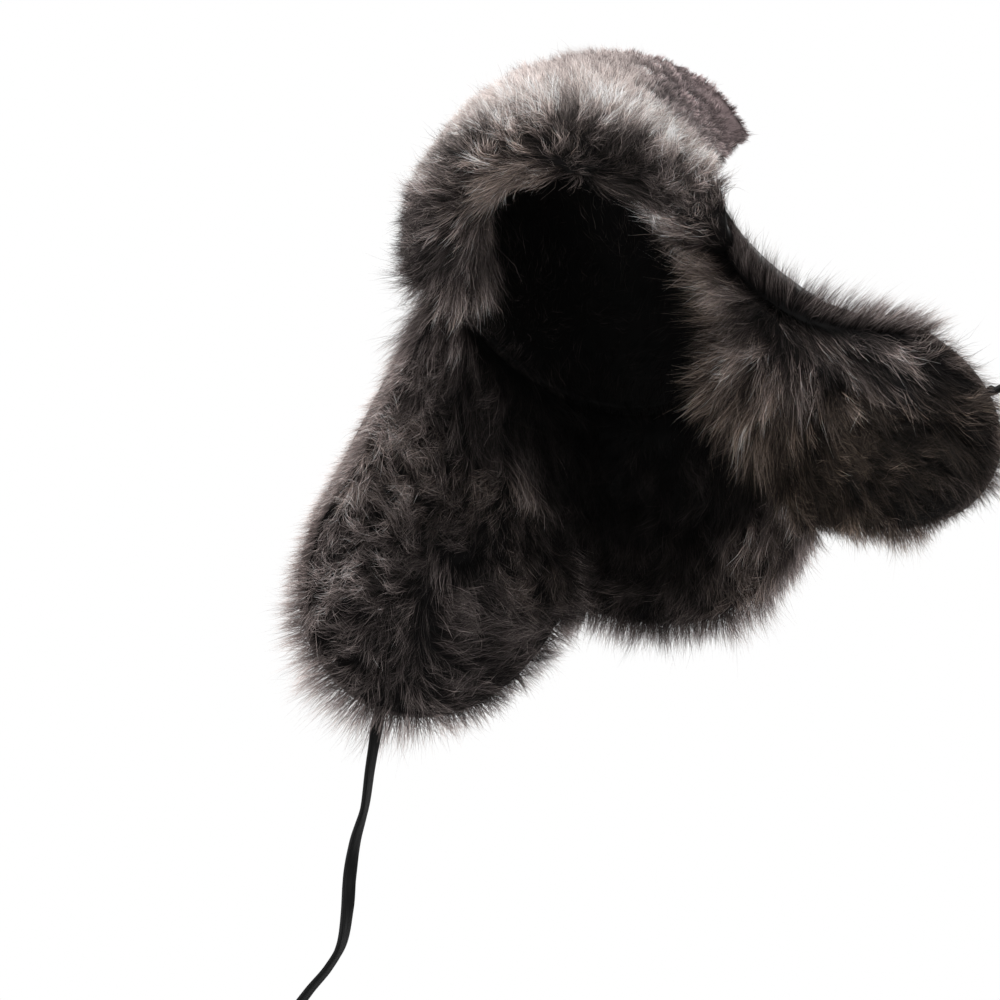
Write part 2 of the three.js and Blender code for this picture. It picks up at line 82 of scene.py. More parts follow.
def makeCamera(view):
    # The lens is as long as it takes to give the named millimetres to each pixel at the hat
    right, up, back, place = cameraAxes(view)
    data = bpy.data.cameras.new("camera")
    data.sensor_width = view["sensor"]
    data.lens = view["sensor"] * view["distance"] / (view["pictureSize"] * view["mmPerPixel"] * mm)
    camera = bpy.data.objects.new("camera", data)
    scene.collection.objects.link(camera)
    axes = Matrix(np.column_stack([right, up, back]).tolist()).to_4x4()
    camera.matrix_world = Matrix.Translation(place.tolist()) @ axes
    scene.camera = camera


stageLight = {
    "world": 1.0,
    "floorDrop": 0.95,  # below the lowest point of the hat
    "floorReach": 6,
    "floorColour": (0.86, 0.86, 0.86),
    "floorRoughness": 0.8,
    "lamps": [
        # name, place, aimed at, width, power
        ("top_lamp", (-0.55, -0.75, 1.3), (0, -0.05, 0), 1.0, 30),
        ("left_lamp", (-1.3, -0.7, 0.1), (-0.05, 0, -0.1), 0.8, 10),
        ("back_lamp", (0.7, 1.0, 0.9), (0, 0, 0), 0.9, 14),
    ],
}


def makeStage(light):
    # An even white room, three soft lamps turned to the hat, and a square floor far below it
    world = bpy.data.worlds.new("studio")
    world.use_nodes = True
    backdrop = world.node_tree.nodes["Background"]
    backdrop.inputs["Color"].default_value = (1, 1, 1, 1)
    backdrop.inputs["Strength"].default_value = light["world"]
    scene.world = world
    scene.view_settings.view_transform = "Standard"
    for name, place, target, width, power in light["lamps"]:
        lamp = bpy.data.lights.new(name, "AREA")
        lamp.size = width
        lamp.energy = power
        holder = bpy.data.objects.new(name, lamp)
        scene.collection.objects.link(holder)
        aim = (Vector(place) - Vector(target)).to_track_quat("Z", "Y")
        holder.matrix_world = Matrix.Translation(place) @ aim.to_matrix().to_4x4()
    reach, level = light["floorReach"], cadLow[2] - light["floorDrop"]
    corners = [(reach * x, reach * y, level) for x, y in ((-1, -1), (1, -1), (1, 1), (-1, 1))]
    mesh = bpy.data.meshes.new("floor")
    mesh.from_pydata(corners, [], [(0, 1, 2, 3)])
    floor = bpy.data.objects.new("floor", mesh)
    scene.collection.objects.link(floor)
    mesh.materials.append(plainMaterial("floor", light["floorColour"], light["floorRoughness"]))


# Materials

def newMaterial(name):
    # An empty material with its nodes, links and surface shader
    material = bpy.data.materials.new(name)
    material.use_nodes = True
    nodes = material.node_tree.nodes
    return material, nodes, material.node_tree.links, nodes["Principled BSDF"]


def plainMaterial(name, colour, roughness):
    # One colour: for the floor, and for thread too fine to show more
    material, _, _, shader = newMaterial(name)
    shader.inputs["Base Color"].default_value = (*colour, 1)
    shader.inputs["Roughness"].default_value = roughness
    return material


def addNode(nodes, kind, settings=None, **values):
    # A node with its own settings and with values in its named inputs
    node = nodes.new(kind)
    for key, value in (settings or {}).items():
        setattr(node, key, value)
    for key, value in values.items():
        node.inputs[key.replace("_", " ")].default_value = value
    return node


def addRamp(nodes, stops):
    # A ramp of colours through (place, colour) stops
    ramp = nodes.new("ShaderNodeValToRGB")
    marks = ramp.color_ramp.elements
    while len(marks) < len(stops):
        marks.new(0.5)
    for mark, (place, colour) in zip(marks, stops):
        mark.position = place
        mark.color = (*colour, 1)
    return ramp


furColours = {
    "dark": [  # along a hair, from its root to its tip
        (0.0, (0.0016, 0.0012, 0.0012)),
        (0.25, (0.006, 0.0046, 0.0044)),
        (0.55, (0.08, 0.0645, 0.061)),
        (0.85, (0.28, 0.234, 0.222)),
        (1.0, (0.48, 0.41, 0.39)),
    ],
    # pale fur: its own lighter colour, made paler still as painted light where the peak faces up
    "pale": [
        (0.0, (0.06, 0.05, 0.047)),
        (0.25, (0.38, 0.322, 0.302)),
        (0.65, (0.7, 0.61, 0.575)),
        (1.0, (0.8, 0.715, 0.68)),
    ],
    "gold": [
        (0.0, (0.002, 0.0013, 0.001)),
        (0.25, (0.008, 0.0054, 0.004)),
        (0.55, (0.1, 0.0715, 0.053)),
        (0.85, (0.34, 0.254, 0.19)),
        (1.0, (0.53, 0.42, 0.325)),
    ],
    # painted shade: the peak's wing, turned away from the light, in a darker mauve
    "mauveShade": [
        (0.0, (0.035, 0.026, 0.027)),
        (0.4, (0.13, 0.096, 0.097)),
        (1.0, (0.34, 0.262, 0.262)),
    ],
    "roughness": 0.75,
    "shine": 0.12,
    "brightest": 0.9,
}


def makeFurMaterial(name, colours, tint):
    # The hair attribute holds the place along the hair, its tone and how pale it is; its alpha the tint.
    # The tone carries painted light and shade from the combing tables, and on the peak the tint paints
    # the wing's shade
    material, nodes, links, shader = newMaterial(name)
    hair = addNode(nodes, "ShaderNodeAttribute", {"attribute_name": "hair"})
    parts = nodes.new("ShaderNodeSeparateColor")
    links.new(hair.outputs["Color"], parts.inputs["Color"])
    dark, pale, tinted = (addRamp(nodes, colours[key]) for key in ("dark", "pale", tint))
    for ramp in (dark, pale, tinted):
        links.new(parts.outputs["Red"], ramp.inputs["Fac"])
    lighter = addNode(nodes, "ShaderNodeMix", {"data_type": "RGBA"})
    links.new(parts.outputs["Blue"], lighter.inputs["Factor"])
    links.new(dark.outputs["Color"], lighter.inputs["A"])
    links.new(pale.outputs["Color"], lighter.inputs["B"])
    warmer = addNode(nodes, "ShaderNodeMix", {"data_type": "RGBA"})
    links.new(hair.outputs["Alpha"], warmer.inputs["Factor"])
    links.new(lighter.outputs["Result"], warmer.inputs["A"])
    links.new(tinted.outputs["Color"], warmer.inputs["B"])
    toned = addNode(nodes, "ShaderNodeVectorMath", {"operation": "SCALE"})
    links.new(warmer.outputs["Result"], toned.inputs[0])
    links.new(parts.outputs["Green"], toned.inputs["Scale"])
    capped = addNode(nodes, "ShaderNodeVectorMath", {"operation": "MINIMUM"})
    capped.inputs[1].default_value = (colours["brightest"],) * 3
    links.new(toned.outputs["Vector"], capped.inputs[0])
    links.new(capped.outputs["Vector"], shader.inputs["Base Color"])
    shader.inputs["Roughness"].default_value = colours["roughness"]
    shader.inputs["Specular IOR Level"].default_value = colours["shine"]
    return material


leatherLook = {
    "low": (0.006, 0.0068, 0.006),
    "high": (0.02, 0.0215, 0.019),
    "grainSize": 1400,
    "grainDepth": 0.00012,
    "grainStrength": 0.7,
    "creaseSize": 55,
    "creaseDetail": 6.0,
    "creaseWarp": 0.6,
    "creaseDepth": 0.0006,
    "creaseStrength": 0.6,
    "cloudSize": 14.0,
    "cloudDetail": 4.0,
    "roughness": (0.4, 0.6),
    "shine": 0.28,
}


def makeLeatherMaterial(name, look):
    # Pebbled grain over broad creases; colour drifts in clouds, and the creases are duller
    material, nodes, links, shader = newMaterial(name)
    place = nodes.new("ShaderNodeTexCoord")
    grain = addNode(nodes, "ShaderNodeTexVoronoi", Scale=look["grainSize"])
    crease = addNode(nodes, "ShaderNodeTexNoise", Scale=look["creaseSize"],
                     Detail=look["creaseDetail"], Distortion=look["creaseWarp"])
    cloud = addNode(nodes, "ShaderNodeTexNoise", Scale=look["cloudSize"], Detail=look["cloudDetail"])
    for texture in (grain, crease, cloud):
        links.new(place.outputs["Object"], texture.inputs["Vector"])
    colour = addRamp(nodes, [(0.3, look["low"]), (0.7, look["high"])])
    links.new(cloud.outputs["Fac"], colour.inputs["Fac"])
    links.new(colour.outputs["Color"], shader.inputs["Base Color"])
    dull = addNode(nodes, "ShaderNodeMapRange")
    dull.inputs["To Min"].default_value = look["roughness"][0]
    dull.inputs["To Max"].default_value = look["roughness"][1]
    links.new(crease.outputs["Fac"], dull.inputs["Value"])
    links.new(dull.outputs["Result"], shader.inputs["Roughness"])
    shader.inputs["Specular IOR Level"].default_value = look["shine"]
    creaseBump = addNode(nodes, "ShaderNodeBump",
                         Strength=look["creaseStrength"], Distance=look["creaseDepth"])
    links.new(crease.outputs["Fac"], creaseBump.inputs["Height"])
    grainBump = addNode(nodes, "ShaderNodeBump",
                        Strength=look["grainStrength"], Distance=look["grainDepth"])
    links.new(grain.outputs["Distance"], grainBump.inputs["Height"])
    links.new(creaseBump.outputs["Normal"], grainBump.inputs["Normal"])
    links.new(grainBump.outputs["Normal"], shader.inputs["Normal"])
    return material


tapeLook = {
    "colour": (0.004, 0.004, 0.0042),
    "ribs": 7,
    "crossThreads": 2600,  # for each metre
    "threadDepth": 0.00025,
    "threadStrength": 0.5,
    "roughness": 0.7,
    "shine": 0.12,
}


def makeTapeMaterial(name, look):
    # Woven tape: ribs run along it, from the first UV axis, and threads cross them, from the second
    material, nodes, links, shader = newMaterial(name)
    place = addNode(nodes, "ShaderNodeUVMap", {"uv_map": "UVMap"})
    parts = nodes.new("ShaderNodeSeparateXYZ")
    links.new(place.outputs["UV"], parts.inputs["Vector"])
    waves = []
    for axis, count in (("X", look["ribs"]), ("Y", look["crossThreads"])):
        turn = addNode(nodes, "ShaderNodeMath", {"operation": "MULTIPLY"})
        turn.inputs[1].default_value = 2 * np.pi * count
        wave = addNode(nodes, "ShaderNodeMath", {"operation": "SINE"})
        links.new(parts.outputs[axis], turn.inputs[0])
        links.new(turn.outputs[0], wave.inputs[0])
        waves.append(wave)
    both = addNode(nodes, "ShaderNodeMath", {"operation": "ADD"})
    links.new(waves[0].outputs[0], both.inputs[0])
    links.new(waves[1].outputs[0], both.inputs[1])
    bump = addNode(nodes, "ShaderNodeBump", Strength=look["threadStrength"], Distance=look["threadDepth"])
    links.new(both.outputs[0], bump.inputs["Height"])
    links.new(bump.outputs["Normal"], shader.inputs["Normal"])
    shader.inputs["Base Color"].default_value = (*look["colour"], 1)
    shader.inputs["Roughness"].default_value = look["roughness"]
    shader.inputs["Specular IOR Level"].default_value = look["shine"]
    return material


threadLook = {"colour": (0.012, 0.012, 0.012), "roughness": 0.5}


# Meshes from arrays

def newPiece(name, vertices, faces, material, stands=(), hair=None, uv=None):
    # vertices in metres; faces is a list of arrays of corners, one array for each count of corners
    counts = np.concatenate([np.full(len(part), part.shape[1]) for part in faces])
    corners = np.concatenate([part.ravel() for part in faces]).astype(np.int32)
    starts = np.concatenate([[0], np.cumsum(counts)[:-1]]).astype(np.int32)
    mesh = bpy.data.meshes.new(name)
    mesh.vertices.add(len(vertices))
    mesh.loops.add(len(corners))
    mesh.polygons.add(len(counts))
    mesh.vertices.foreach_set("co", np.asarray(vertices, np.float32).ravel())
    mesh.loops.foreach_set("vertex_index", corners)
    mesh.polygons.foreach_set("loop_start", starts)
    mesh.polygons.foreach_set("use_smooth", np.ones(len(counts), bool))
    if hair is not None:
        layer = mesh.color_attributes.new("hair", "FLOAT_COLOR", "POINT")
        layer.data.foreach_set("color", np.asarray(hair, np.float32).ravel())
    if uv is not None:
        mesh.uv_layers.new(name="UVMap").data.foreach_set("uv", uv[corners].astype(np.float32).ravel())
    mesh.update(calc_edges=True)
    mesh.validate()
    mesh.materials.append(material)
    piece = bpy.data.objects.new(name, mesh)
    scene.collection.objects.link(piece)
    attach(piece, "root")
    if stands:
        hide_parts(*stands)
    triangles = int((counts - 2).sum())
    print(name, triangles, "triangles")
    return piece


def band(near, far):
    # Four-sided faces between two rows of vertex numbers
    return np.stack([near[:-1], near[1:], far[1:], far[:-1]], axis=-1)


def signedVolume(vertices, faces):
    # Six times the volume inside the faces: negative where they point inwards
    total = 0
    for part in faces:
        for second in range(1, part.shape[1] - 1):
            a, b, c = (vertices[part[:, k]] for k in (0, second, second + 1))
            total += np.einsum("ij,ij->", a, np.cross(b, c))
    return total


def wallMesh(outer, inner, ring=False, apex=False):
    # A closed body between two grids of points; a ring meets itself round, an apex closes the last row
    rows, columns = outer.shape[:2]
    top = np.arange(rows * columns).reshape(rows, columns)
    if ring:
        top = np.concatenate([top, top[:, :1]], axis=1)
    under = top + rows * columns
    vertices = np.concatenate([outer.reshape(-1, 3), inner.reshape(-1, 3)])
    quads = [band(top[j], top[j + 1]) for j in range(rows - 1)]
    quads += [band(under[j + 1], under[j]) for j in range(rows - 1)]
    quads.append(band(under[0], top[0]))
    triangles = []
    if apex:
        tips = len(vertices) + np.arange(2)
        vertices = np.concatenate([vertices, outer[-1].mean(0)[None], inner[-1].mean(0)[None]])
        for row, tip, way in ((top[-1], tips[0], 1), (under[-1], tips[1], -1)):
            fan = np.stack([row[:-1], row[1:], np.full(len(row) - 1, tip)], axis=-1)
            triangles.append(fan[:, ::way])
    else:
        quads.append(band(top[-1], under[-1]))
    if not ring:
        quads.append(band(top[:, 0], under[:, 0]))
        quads.append(band(under[:, -1], top[:, -1]))
    faces = [np.concatenate(quads)]
    if triangles:
        faces.append(np.concatenate(triangles))
    if signedVolume(vertices, faces) < 0:
        faces = [part[:, ::-1] for part in faces]
    return vertices, faces


def joinParts(parts):
    # Several bodies as one: vertices, faces of each kind, and any values held at the vertices
    shift = np.cumsum([0] + [len(part[0]) for part in parts[:-1]])
    kinds = range(len(parts[0][1]))
    faces = [np.concatenate([part[1][k] + step for part, step in zip(parts, shift)]) for k in kinds]
    values = [np.concatenate([part[k] for part in parts]) for k in range(2, len(parts[0]))]
    return np.concatenate([part[0] for part in parts]), faces, *values


def shareGrid(columns, rows):
    # Two shares from 0 to 1, across and along a grid
    return np.meshgrid(np.linspace(0, 1, columns), np.linspace(0, 1, rows))


def unit(vectors):
    # Each vector over its length
    return vectors / np.maximum(np.linalg.norm(vectors, axis=-1, keepdims=True), 1e-12)


# Surfaces of the hat, all from the source's sizes, in millimetres and degrees

hatSizes = {
    "halfWidth": 75,
    "halfDepth": 115,
    "crownHeight": 112,
    "domePower": 2.6,
    "panelCount": 6,
    "panelPuff": 0.018,
    "leather": 2.4,
    "seamGap": 0.3,
    "liningPile": 8,
    "liningGap": 1.7,
    "liningEdgeBack": 0.03,
    "liningEdgeFront": 0.22,
    "liningRamp": (9, 22),
}


def readTable(columns, rows):
    # A table as one array for each named column
    return dict(zip(columns.split(), np.array(rows, float).T))


# angle round the head, lean along X and Y for each unit of drop, length, depth of pile, bow
skirtTable = readTable("angle outX outY length pile bow", [
    (-107, -0.4, -0.08, 146, 10, 0),
    (-104, -0.4, -0.06, 170, 11, 0),
    (-97, -0.37, -0.02, 191, 12, 1),
    (-88, -0.32, 0.02, 202, 13, 2),
    (-78, -0.27, 0.05, 203, 14, 4),
    (-66, -0.2, 0.07, 193, 14, 6),
    (-54, -0.15, 0.08, 171, 13, 7),
    (-45, -0.13, 0.1, 143, 12, 7),
    (-38, -0.13, 0.12, 119, 12, 7),
    (-28, -0.16, 0.17, 111, 12, 7),
    (-14, -0.12, 0.24, 113, 13, 8),
    (0, -0.02, 0.28, 115, 13, 8),
    (14, 0.12, 0.24, 112, 13, 8),
    (28, 0.23, 0.13, 110, 14, 7),
    (38, 0.3, 0.02, 110, 18, 7),
    (45, 0.38, -0.06, 132, 20, 7),
    (54, 0.48, -0.11, 162, 22, 7),
    (66, 0.58, -0.13, 182, 22, 6),
    (78, 0.69, -0.13, 183, 21, 5),
    (88, 0.79, -0.12, 168, 18, -5),
    (94, 0.84, -0.11, 149, 14, -13),
    (97, 0.85, -0.11, 130, 11, -17),
])
skirtSpans = {"left": (-107, -38.2), "neck": (-38, 38), "right": (38.2, 97)}

# share across the peak, angles of its lower and upper edge, height, stand-off there, depth of pile
peakTable = readTable("across root tip height flare pile", [
    (0, 250, 251, 5, 0, 7),
    (0.1, 240, 241, 5, 0, 8),
    (0.2, 226, 227, 6, 0, 9),
    (0.3, 212, 212, 10, 0, 10),
    (0.4, 196, 196, 20, 1, 12),
    (0.5, 182, 181, 36, 0, 13),
    (0.6, 168, 165, 53, 0, 13),
    (0.7, 154, 148, 72, 3, 13),
    (0.8, 140, 127, 84, 12, 13),
    (0.9, 126, 109, 78, 20, 11),
    (1, 118, 103, 44, 20, 8),
])
peakSizes = {"standOff": 3.9, "foot": 0.05, "lean": 0.35, "flarePower": 2.4, "furBack": 0.3}

# angle round the head and the depth of the rolled fur towards the head and outside the crown
rollTable = readTable("angle inside outside", [
    (98, 18, 2),
    (112, 18, 3),
    (124, 17, 12),
    (140, 17, 15),
    (182, 17, 14),
    (205, 18, 11),
    (228, 21, 8),
    (250, 21, 7),
])
rollSizes = {"radius": 5, "centre": -0.1, "drop": 3, "inside": 11, "outside": 10}


def fromTable(table, key, at, column):
    # A smooth value through every row: a cubic whose slopes come from the neighbouring rows
    x, y = table[key], table[column]
    slope = np.empty_like(y)
    slope[1:-1] = (y[2:] - y[:-2]) / (x[2:] - x[:-2])
    slope[0] = (y[1] - y[0]) / (x[1] - x[0])
    slope[-1] = (y[-1] - y[-2]) / (x[-1] - x[-2])
    row = np.clip(np.searchsorted(x, at) - 1, 0, len(x) - 2)
    span = x[row + 1] - x[row]
    share = np.clip((at - x[row]) / span, 0, 1)
    cube, square = share ** 3, share ** 2
    return (
        (2 * cube - 3 * square + 1) * y[row]
        + (cube - 2 * square + share) * span * slope[row]
        + (3 * square - 2 * cube) * y[row + 1]
        + (cube - square) * span * slope[row + 1]
    )


def smoothStep(low, high, at):
    # From 0 at low to 1 at high: three squares less two cubes
    share = np.clip((at - low) / (high - low), 0, 1)
    return share * share * (3 - 2 * share)


def triple(x, y, z):
    # Points from three coordinates of any matching shapes
    return np.stack(np.broadcast_arrays(x, y, z), axis=-1).astype(float)


def rimPoint(angle):
    # On the oval of the rim, from the sine and cosine of the angle round the head
    turn = np.radians(angle)
    return triple(hatSizes["halfWidth"] * np.sin(turn), hatSizes["halfDepth"] * np.cos(turn), 0)


def rimOut(angle):
    # Square to that oval
    turn = np.radians(angle)
    return unit(triple(np.sin(turn) / hatSizes["halfWidth"], np.cos(turn) / hatSizes["halfDepth"], 0))


def domeShare(height):
    # How wide the dome is at a height: one less the height's share, to one over the dome's power
    return np.maximum(1 - height / hatSizes["crownHeight"], 0) ** (1 / hatSizes["domePower"])


def domePoint(angle, rise, inset):
    # A half oval that closes as its height to a power; each panel swells between its seams
    turn = np.radians(angle)
    share = np.cos(rise * np.pi / 2)
    swell = np.abs(np.sin(turn * hatSizes["panelCount"] / 2)) - 1
    puff = 1 + hatSizes["panelPuff"] * swell * np.sin(rise * np.pi)
    return triple(
        (hatSizes["halfWidth"] - inset) * share * puff * np.sin(turn),
        (hatSizes["halfDepth"] - inset) * share * puff * np.cos(turn),
        (hatSizes["crownHeight"] - inset) * (1 - share ** hatSizes["domePower"]),
    )


def liningPoint(angle, share, inset):
    # The dome from the lining's edge up; the edge is higher where fur rolls under the rim
    beforeRoll = np.maximum(rollTable["angle"][0] - angle, angle - rollTable["angle"][-1])
    ease = smoothStep(*hatSizes["liningRamp"], beforeRoll)
    edge = hatSizes["liningEdgeFront"] + (hatSizes["liningEdgeBack"] - hatSizes["liningEdgeFront"]) * ease
    return domePoint(angle, edge + (1 - edge) * share, inset)


def skirtSheet(angle, share):
    # Straight lines from the rim along the lean, bowed out as a half sine
    lean = unit(triple(fromTable(skirtTable, "angle", angle, "outX"),
                       fromTable(skirtTable, "angle", angle, "outY"), -1))
    reach = fromTable(skirtTable, "angle", angle, "length") * share
    bow = fromTable(skirtTable, "angle", angle, "bow") * np.sin(np.pi * np.minimum(share, 1))
    half = hatSizes["leather"] / 2
    start = hatSizes["seamGap"] + half * np.hypot(lean[..., 0], lean[..., 1])
    return rimPoint(angle) + rimOut(angle) * (bow - half)[..., None] + lean * (reach + start)[..., None]


def frameOf(sheet, u, v, step=0.004):
    # A surface's point with its unit directions along u, along v and across both
    point = sheet(u, v)
    alongU = unit(sheet(u + step, v) - sheet(u - step, v))
    alongV = unit(sheet(u, v + step) - sheet(u, v - step))
    return point, alongU, alongV, unit(np.cross(alongU, alongV))


def skirtSurface(side):
    # One flap of the sheet, from share 0 to 1 round the head, set off it by a depth
    first, last = skirtSpans[side]

    def surface(u, v, depth):
        # depth is outwards; returns the point, the way round, the way down and the way out
        sheet = lambda a, b: skirtSheet(first + (last - first) * a, b)
        point, around, down, out = frameOf(sheet, u, v)
        return point + out * np.asarray(depth)[..., None], around, down, out
    return surface


def rollPath(angle, along, depth):
    # Down the inside of the rim, round a half circle below it and up its outside
    under = np.pi * rollSizes["radius"]
    inner = rollSizes["inside"] + rollSizes["drop"]
    travel = along * (inner + under + rollSizes["drop"] + rollSizes["outside"])
    swing = np.clip((travel - inner) / rollSizes["radius"], 0, np.pi)
    beyond = np.maximum(travel - inner - under, 0)
    height = rollSizes["inside"] - np.minimum(travel, inner)
    height = height - rollSizes["radius"] * np.sin(swing) + beyond
    out = rimOut(angle)
    facing = out * -np.cos(swing)[..., None]
    facing[..., 2] = -np.sin(swing)
    facing = unit(facing)
    aside = rollSizes["centre"] - rollSizes["radius"] * np.cos(swing)
    point = rimPoint(angle) * domeShare(np.maximum(height, 0))[..., None] + out * aside[..., None]
    point[..., 2] = height
    return point + facing * np.asarray(depth)[..., None], facing


def peakPath(across, share, depth):
    # Up the outside of the dome, standing off it more towards the upper edge
    column = {key: fromTable(peakTable, "across", across, key) for key in peakTable}
    rise = peakSizes["foot"] + (1 - peakSizes["foot"]) * share
    climb = -rollSizes["drop"] + (column["height"] + rollSizes["drop"]) * rise
    angle = column["root"] + (column["tip"] - column["root"]) * share
    out = rimOut(angle)
    facing = out.copy()
    facing[..., 2] = peakSizes["lean"] * share
    facing = unit(facing)
    standOff = peakSizes["standOff"] + column["flare"] * np.clip(share, 0, 2) ** peakSizes["flarePower"]
    point = rimPoint(angle) * domeShare(np.maximum(climb, 0))[..., None] + out * standOff[..., None]
    point[..., 2] = climb
    return point + facing * np.asarray(depth)[..., None], facing


# Laces

laceSizes = {"width": 6, "thickness": 2.4, "corners": 16, "samples": 12}
# the ties' routes, from the edge of the leather to the knot, in metres
leftRoute = [
    (-0.1257, 0.0328, -0.1969), (-0.127, 0.0328, -0.206), (-0.1295, 0.0328, -0.226),
    (-0.1315, 0.0328, -0.2455), (-0.1355, 0.0328, -0.2615), (-0.1375, 0.0328, -0.278),
    (-0.138, 0.0328, -0.294), (-0.14, 0.0328, -0.31), (-0.146, 0.0328, -0.3205),
    (-0.155, 0.0328, -0.33), (-0.1625, 0.0328, -0.34), (-0.1665, 0.0328, -0.352),
    (-0.168, 0.0328, -0.366), (-0.1685, 0.0328, -0.382),
]
rightRoute = [
    (0.1777, -0.014, -0.1289), (0.1805, -0.015, -0.131), (0.187, -0.019, -0.132),
    (0.195, -0.0245, -0.1325), (0.2015, -0.029, -0.137), (0.2055, -0.0315, -0.146),
    (0.207, -0.0325, -0.158), (0.2075, -0.033, -0.175), (0.2075, -0.033, -0.2),
    (0.207, -0.033, -0.225), (0.2065, -0.033, -0.25), (0.2065, -0.033, -0.275),
    (0.2065, -0.033, -0.296),
]
# the way the broad face looks at the start, and how the tape turns about itself along its length
leftTwist = {
    "facing": (0.31, -0.76, -0.57),
    "shares": (0, 0.04, 0.12, 0.24, 0.33, 0.4, 0.48, 0.57, 0.7, 1),
    "turns": (0, 15, 52, 68, 40, 4, 42, 66, 58, 30),
}
rightTwist = {"facing": (0.3, -0.9, 0.2), "shares": (0, 0.2, 0.45, 0.7, 1), "turns": (0, 18, 60, 25, 5)}
knotSizes = {
    "radius": 2.6,
    "turns": 2.25,
    "first": 2.6,  # where the winding starts and ends along the lace
    "second": 5.8,
    "coilSteps": 48,
    "coilTape": {"width": 3.8, "thickness": 3.04},
    "coilEnds": (8, 0.25),  # how fast the winding swells from its ends, and how thick it starts
    "tail": 16,
    "tailSteps": 24,
    "tailTape": {"width": 5.8, "thickness": 2.2},
    "tailTurn": 24,
    "sway": 0.8,
    "swayPitch": 0.35,
    "corners": 12,
}


def smoothPath(points, samples):
    # A cubic through every point, whose slope at a point is half the step between its neighbours
    points = np.asarray(points, float)
    padded = np.concatenate([2 * points[:1] - points[1:2], points, 2 * points[-1:] - points[-2:-1]])
    share = (np.arange(samples) / samples)[None, :, None]
    before, start, end, after = (padded[k:len(padded) - 3 + k, None] for k in range(4))
    curve = 0.5 * (
        2 * start
        + (end - before) * share
        + (2 * before - 5 * start + 4 * end - after) * share ** 2
        + (3 * start - before - 3 * end + after) * share ** 3
    )
    return np.concatenate([curve.reshape(-1, 3), points[-1:]])


def tapeSection(sizes, corners):
    # A flat oval with squarer ends: the cosine and sine of each corner to the power 0.5
    turn = np.linspace(0, 2 * np.pi, corners, endpoint=False) + np.pi / corners
    squared = lambda wave: np.sign(wave) * np.abs(wave) ** 0.5
    half = sizes["width"] / 2 * mm, sizes["thickness"] / 2 * mm
    return squared(np.cos(turn)) * half[0], squared(np.sin(turn)) * half[1]


def sweepTape(path, facing, turns, section, taper=None):
    # The section is carried along the path, turned about it by the turns in degrees
    tangent = unit(np.gradient(path, axis=0))
    across = unit(np.cross(tangent, np.asarray(facing, float)))
    normal = np.cross(across, tangent)
    swing = np.radians(turns)[:, None]
    wide = across * np.cos(swing) + normal * np.sin(swing)
    deep = normal * np.cos(swing) - across * np.sin(swing)
    size = np.ones(len(path)) if taper is None else taper
    grid = (
        path[:, None]
        + wide[:, None] * section[0][None, :, None] * size[:, None, None]
        + deep[:, None] * section[1][None, :, None] * size[:, None, None]
    )
    rows, columns = grid.shape[:2]
    number = np.arange(rows * columns).reshape(rows, columns)
    number = np.concatenate([number, number[:, :1]], axis=1)
    quads = np.concatenate([band(number[j], number[j + 1]) for j in range(rows - 1)])
    vertices = np.concatenate([grid.reshape(-1, 3), path[:1], path[-1:]])
    first = np.stack([number[0, :-1], np.full(columns, len(vertices) - 2), number[0, 1:]], axis=-1)
    last = np.stack([number[-1, :-1], number[-1, 1:], np.full(columns, len(vertices) - 1)], axis=-1)
    faces = [quads, np.concatenate([first, last])]
    if signedVolume(vertices, faces) < 0:
        faces = [part[:, ::-1] for part in faces]
    travel = np.concatenate([[0], np.cumsum(np.linalg.norm(np.diff(path, axis=0), axis=1))])
    aroundShare = np.abs(np.linspace(-1, 1, columns))
    uv = np.stack(np.broadcast_arrays(aroundShare[None], travel[:, None]), axis=-1).reshape(-1, 2)
    uv = np.concatenate([uv, [[0.5, 0], [0.5, travel[-1]]]])
    return vertices, faces, uv


def makeLace(side, route, twist, material):
    # The flat section carried along the route, twisting as its table says
    path = smoothPath(route, laceSizes["samples"])
    share = np.linspace(0, 1, len(path))
    turns = np.interp(share, twist["shares"], twist["turns"])
    section = tapeSection(laceSizes, laceSizes["corners"])
    vertices, faces, uv = sweepTape(path, twist["facing"], turns, section)
    lace = newPiece(f"{side}_lace", vertices, faces, material, [f"{side}_tie"], uv=uv)
    knot = makeKnot(side, path, twist, turns[-1], material)


def makeKnot(side, path, twist, lastTurn, material):
    # The tape winds round itself as a helix, then hangs on as a cut end
    end, way = path[-1], unit(path[-1] - path[-2])
    across = unit(np.cross(way, np.asarray(twist["facing"], float)))
    normal = np.cross(across, way)
    steps = knotSizes["coilSteps"]
    turn = np.linspace(0, 2 * np.pi * knotSizes["turns"], steps)
    radius = knotSizes["radius"] * mm
    climb = np.linspace(knotSizes["first"], knotSizes["second"], steps) * mm
    coil = (
        end + way * climb[:, None]
        + across * (radius * np.cos(turn))[:, None]
        + normal * (radius * np.sin(turn))[:, None]
    )
    speed, start = knotSizes["coilEnds"]
    ends = np.minimum(1, speed * np.minimum(np.linspace(0, 1, steps), np.linspace(1, 0, steps)) + start)
    section = tapeSection(knotSizes["coilTape"], knotSizes["corners"])
    coilMesh = sweepTape(coil, way, np.zeros(steps), section, ends)
    steps = knotSizes["tailSteps"]
    drop = np.linspace(0.5, knotSizes["second"] + knotSizes["tail"], steps)[:, None] * mm
    sway = across * (knotSizes["sway"] * mm) * np.sin(drop / mm * knotSizes["swayPitch"])
    tailTurns = lastTurn + np.linspace(0, knotSizes["tailTurn"], steps)
    section = tapeSection(knotSizes["tailTape"], knotSizes["corners"])
    tailMesh = sweepTape(end + way * drop + sway, twist["facing"], tailTurns, section)
    vertices, faces, uv = joinParts([coilMesh, tailMesh])
    return newPiece(f"{side}_lace_knot", vertices, faces, material, [f"{side}_tie_knot"], uv=uv)


# Leather

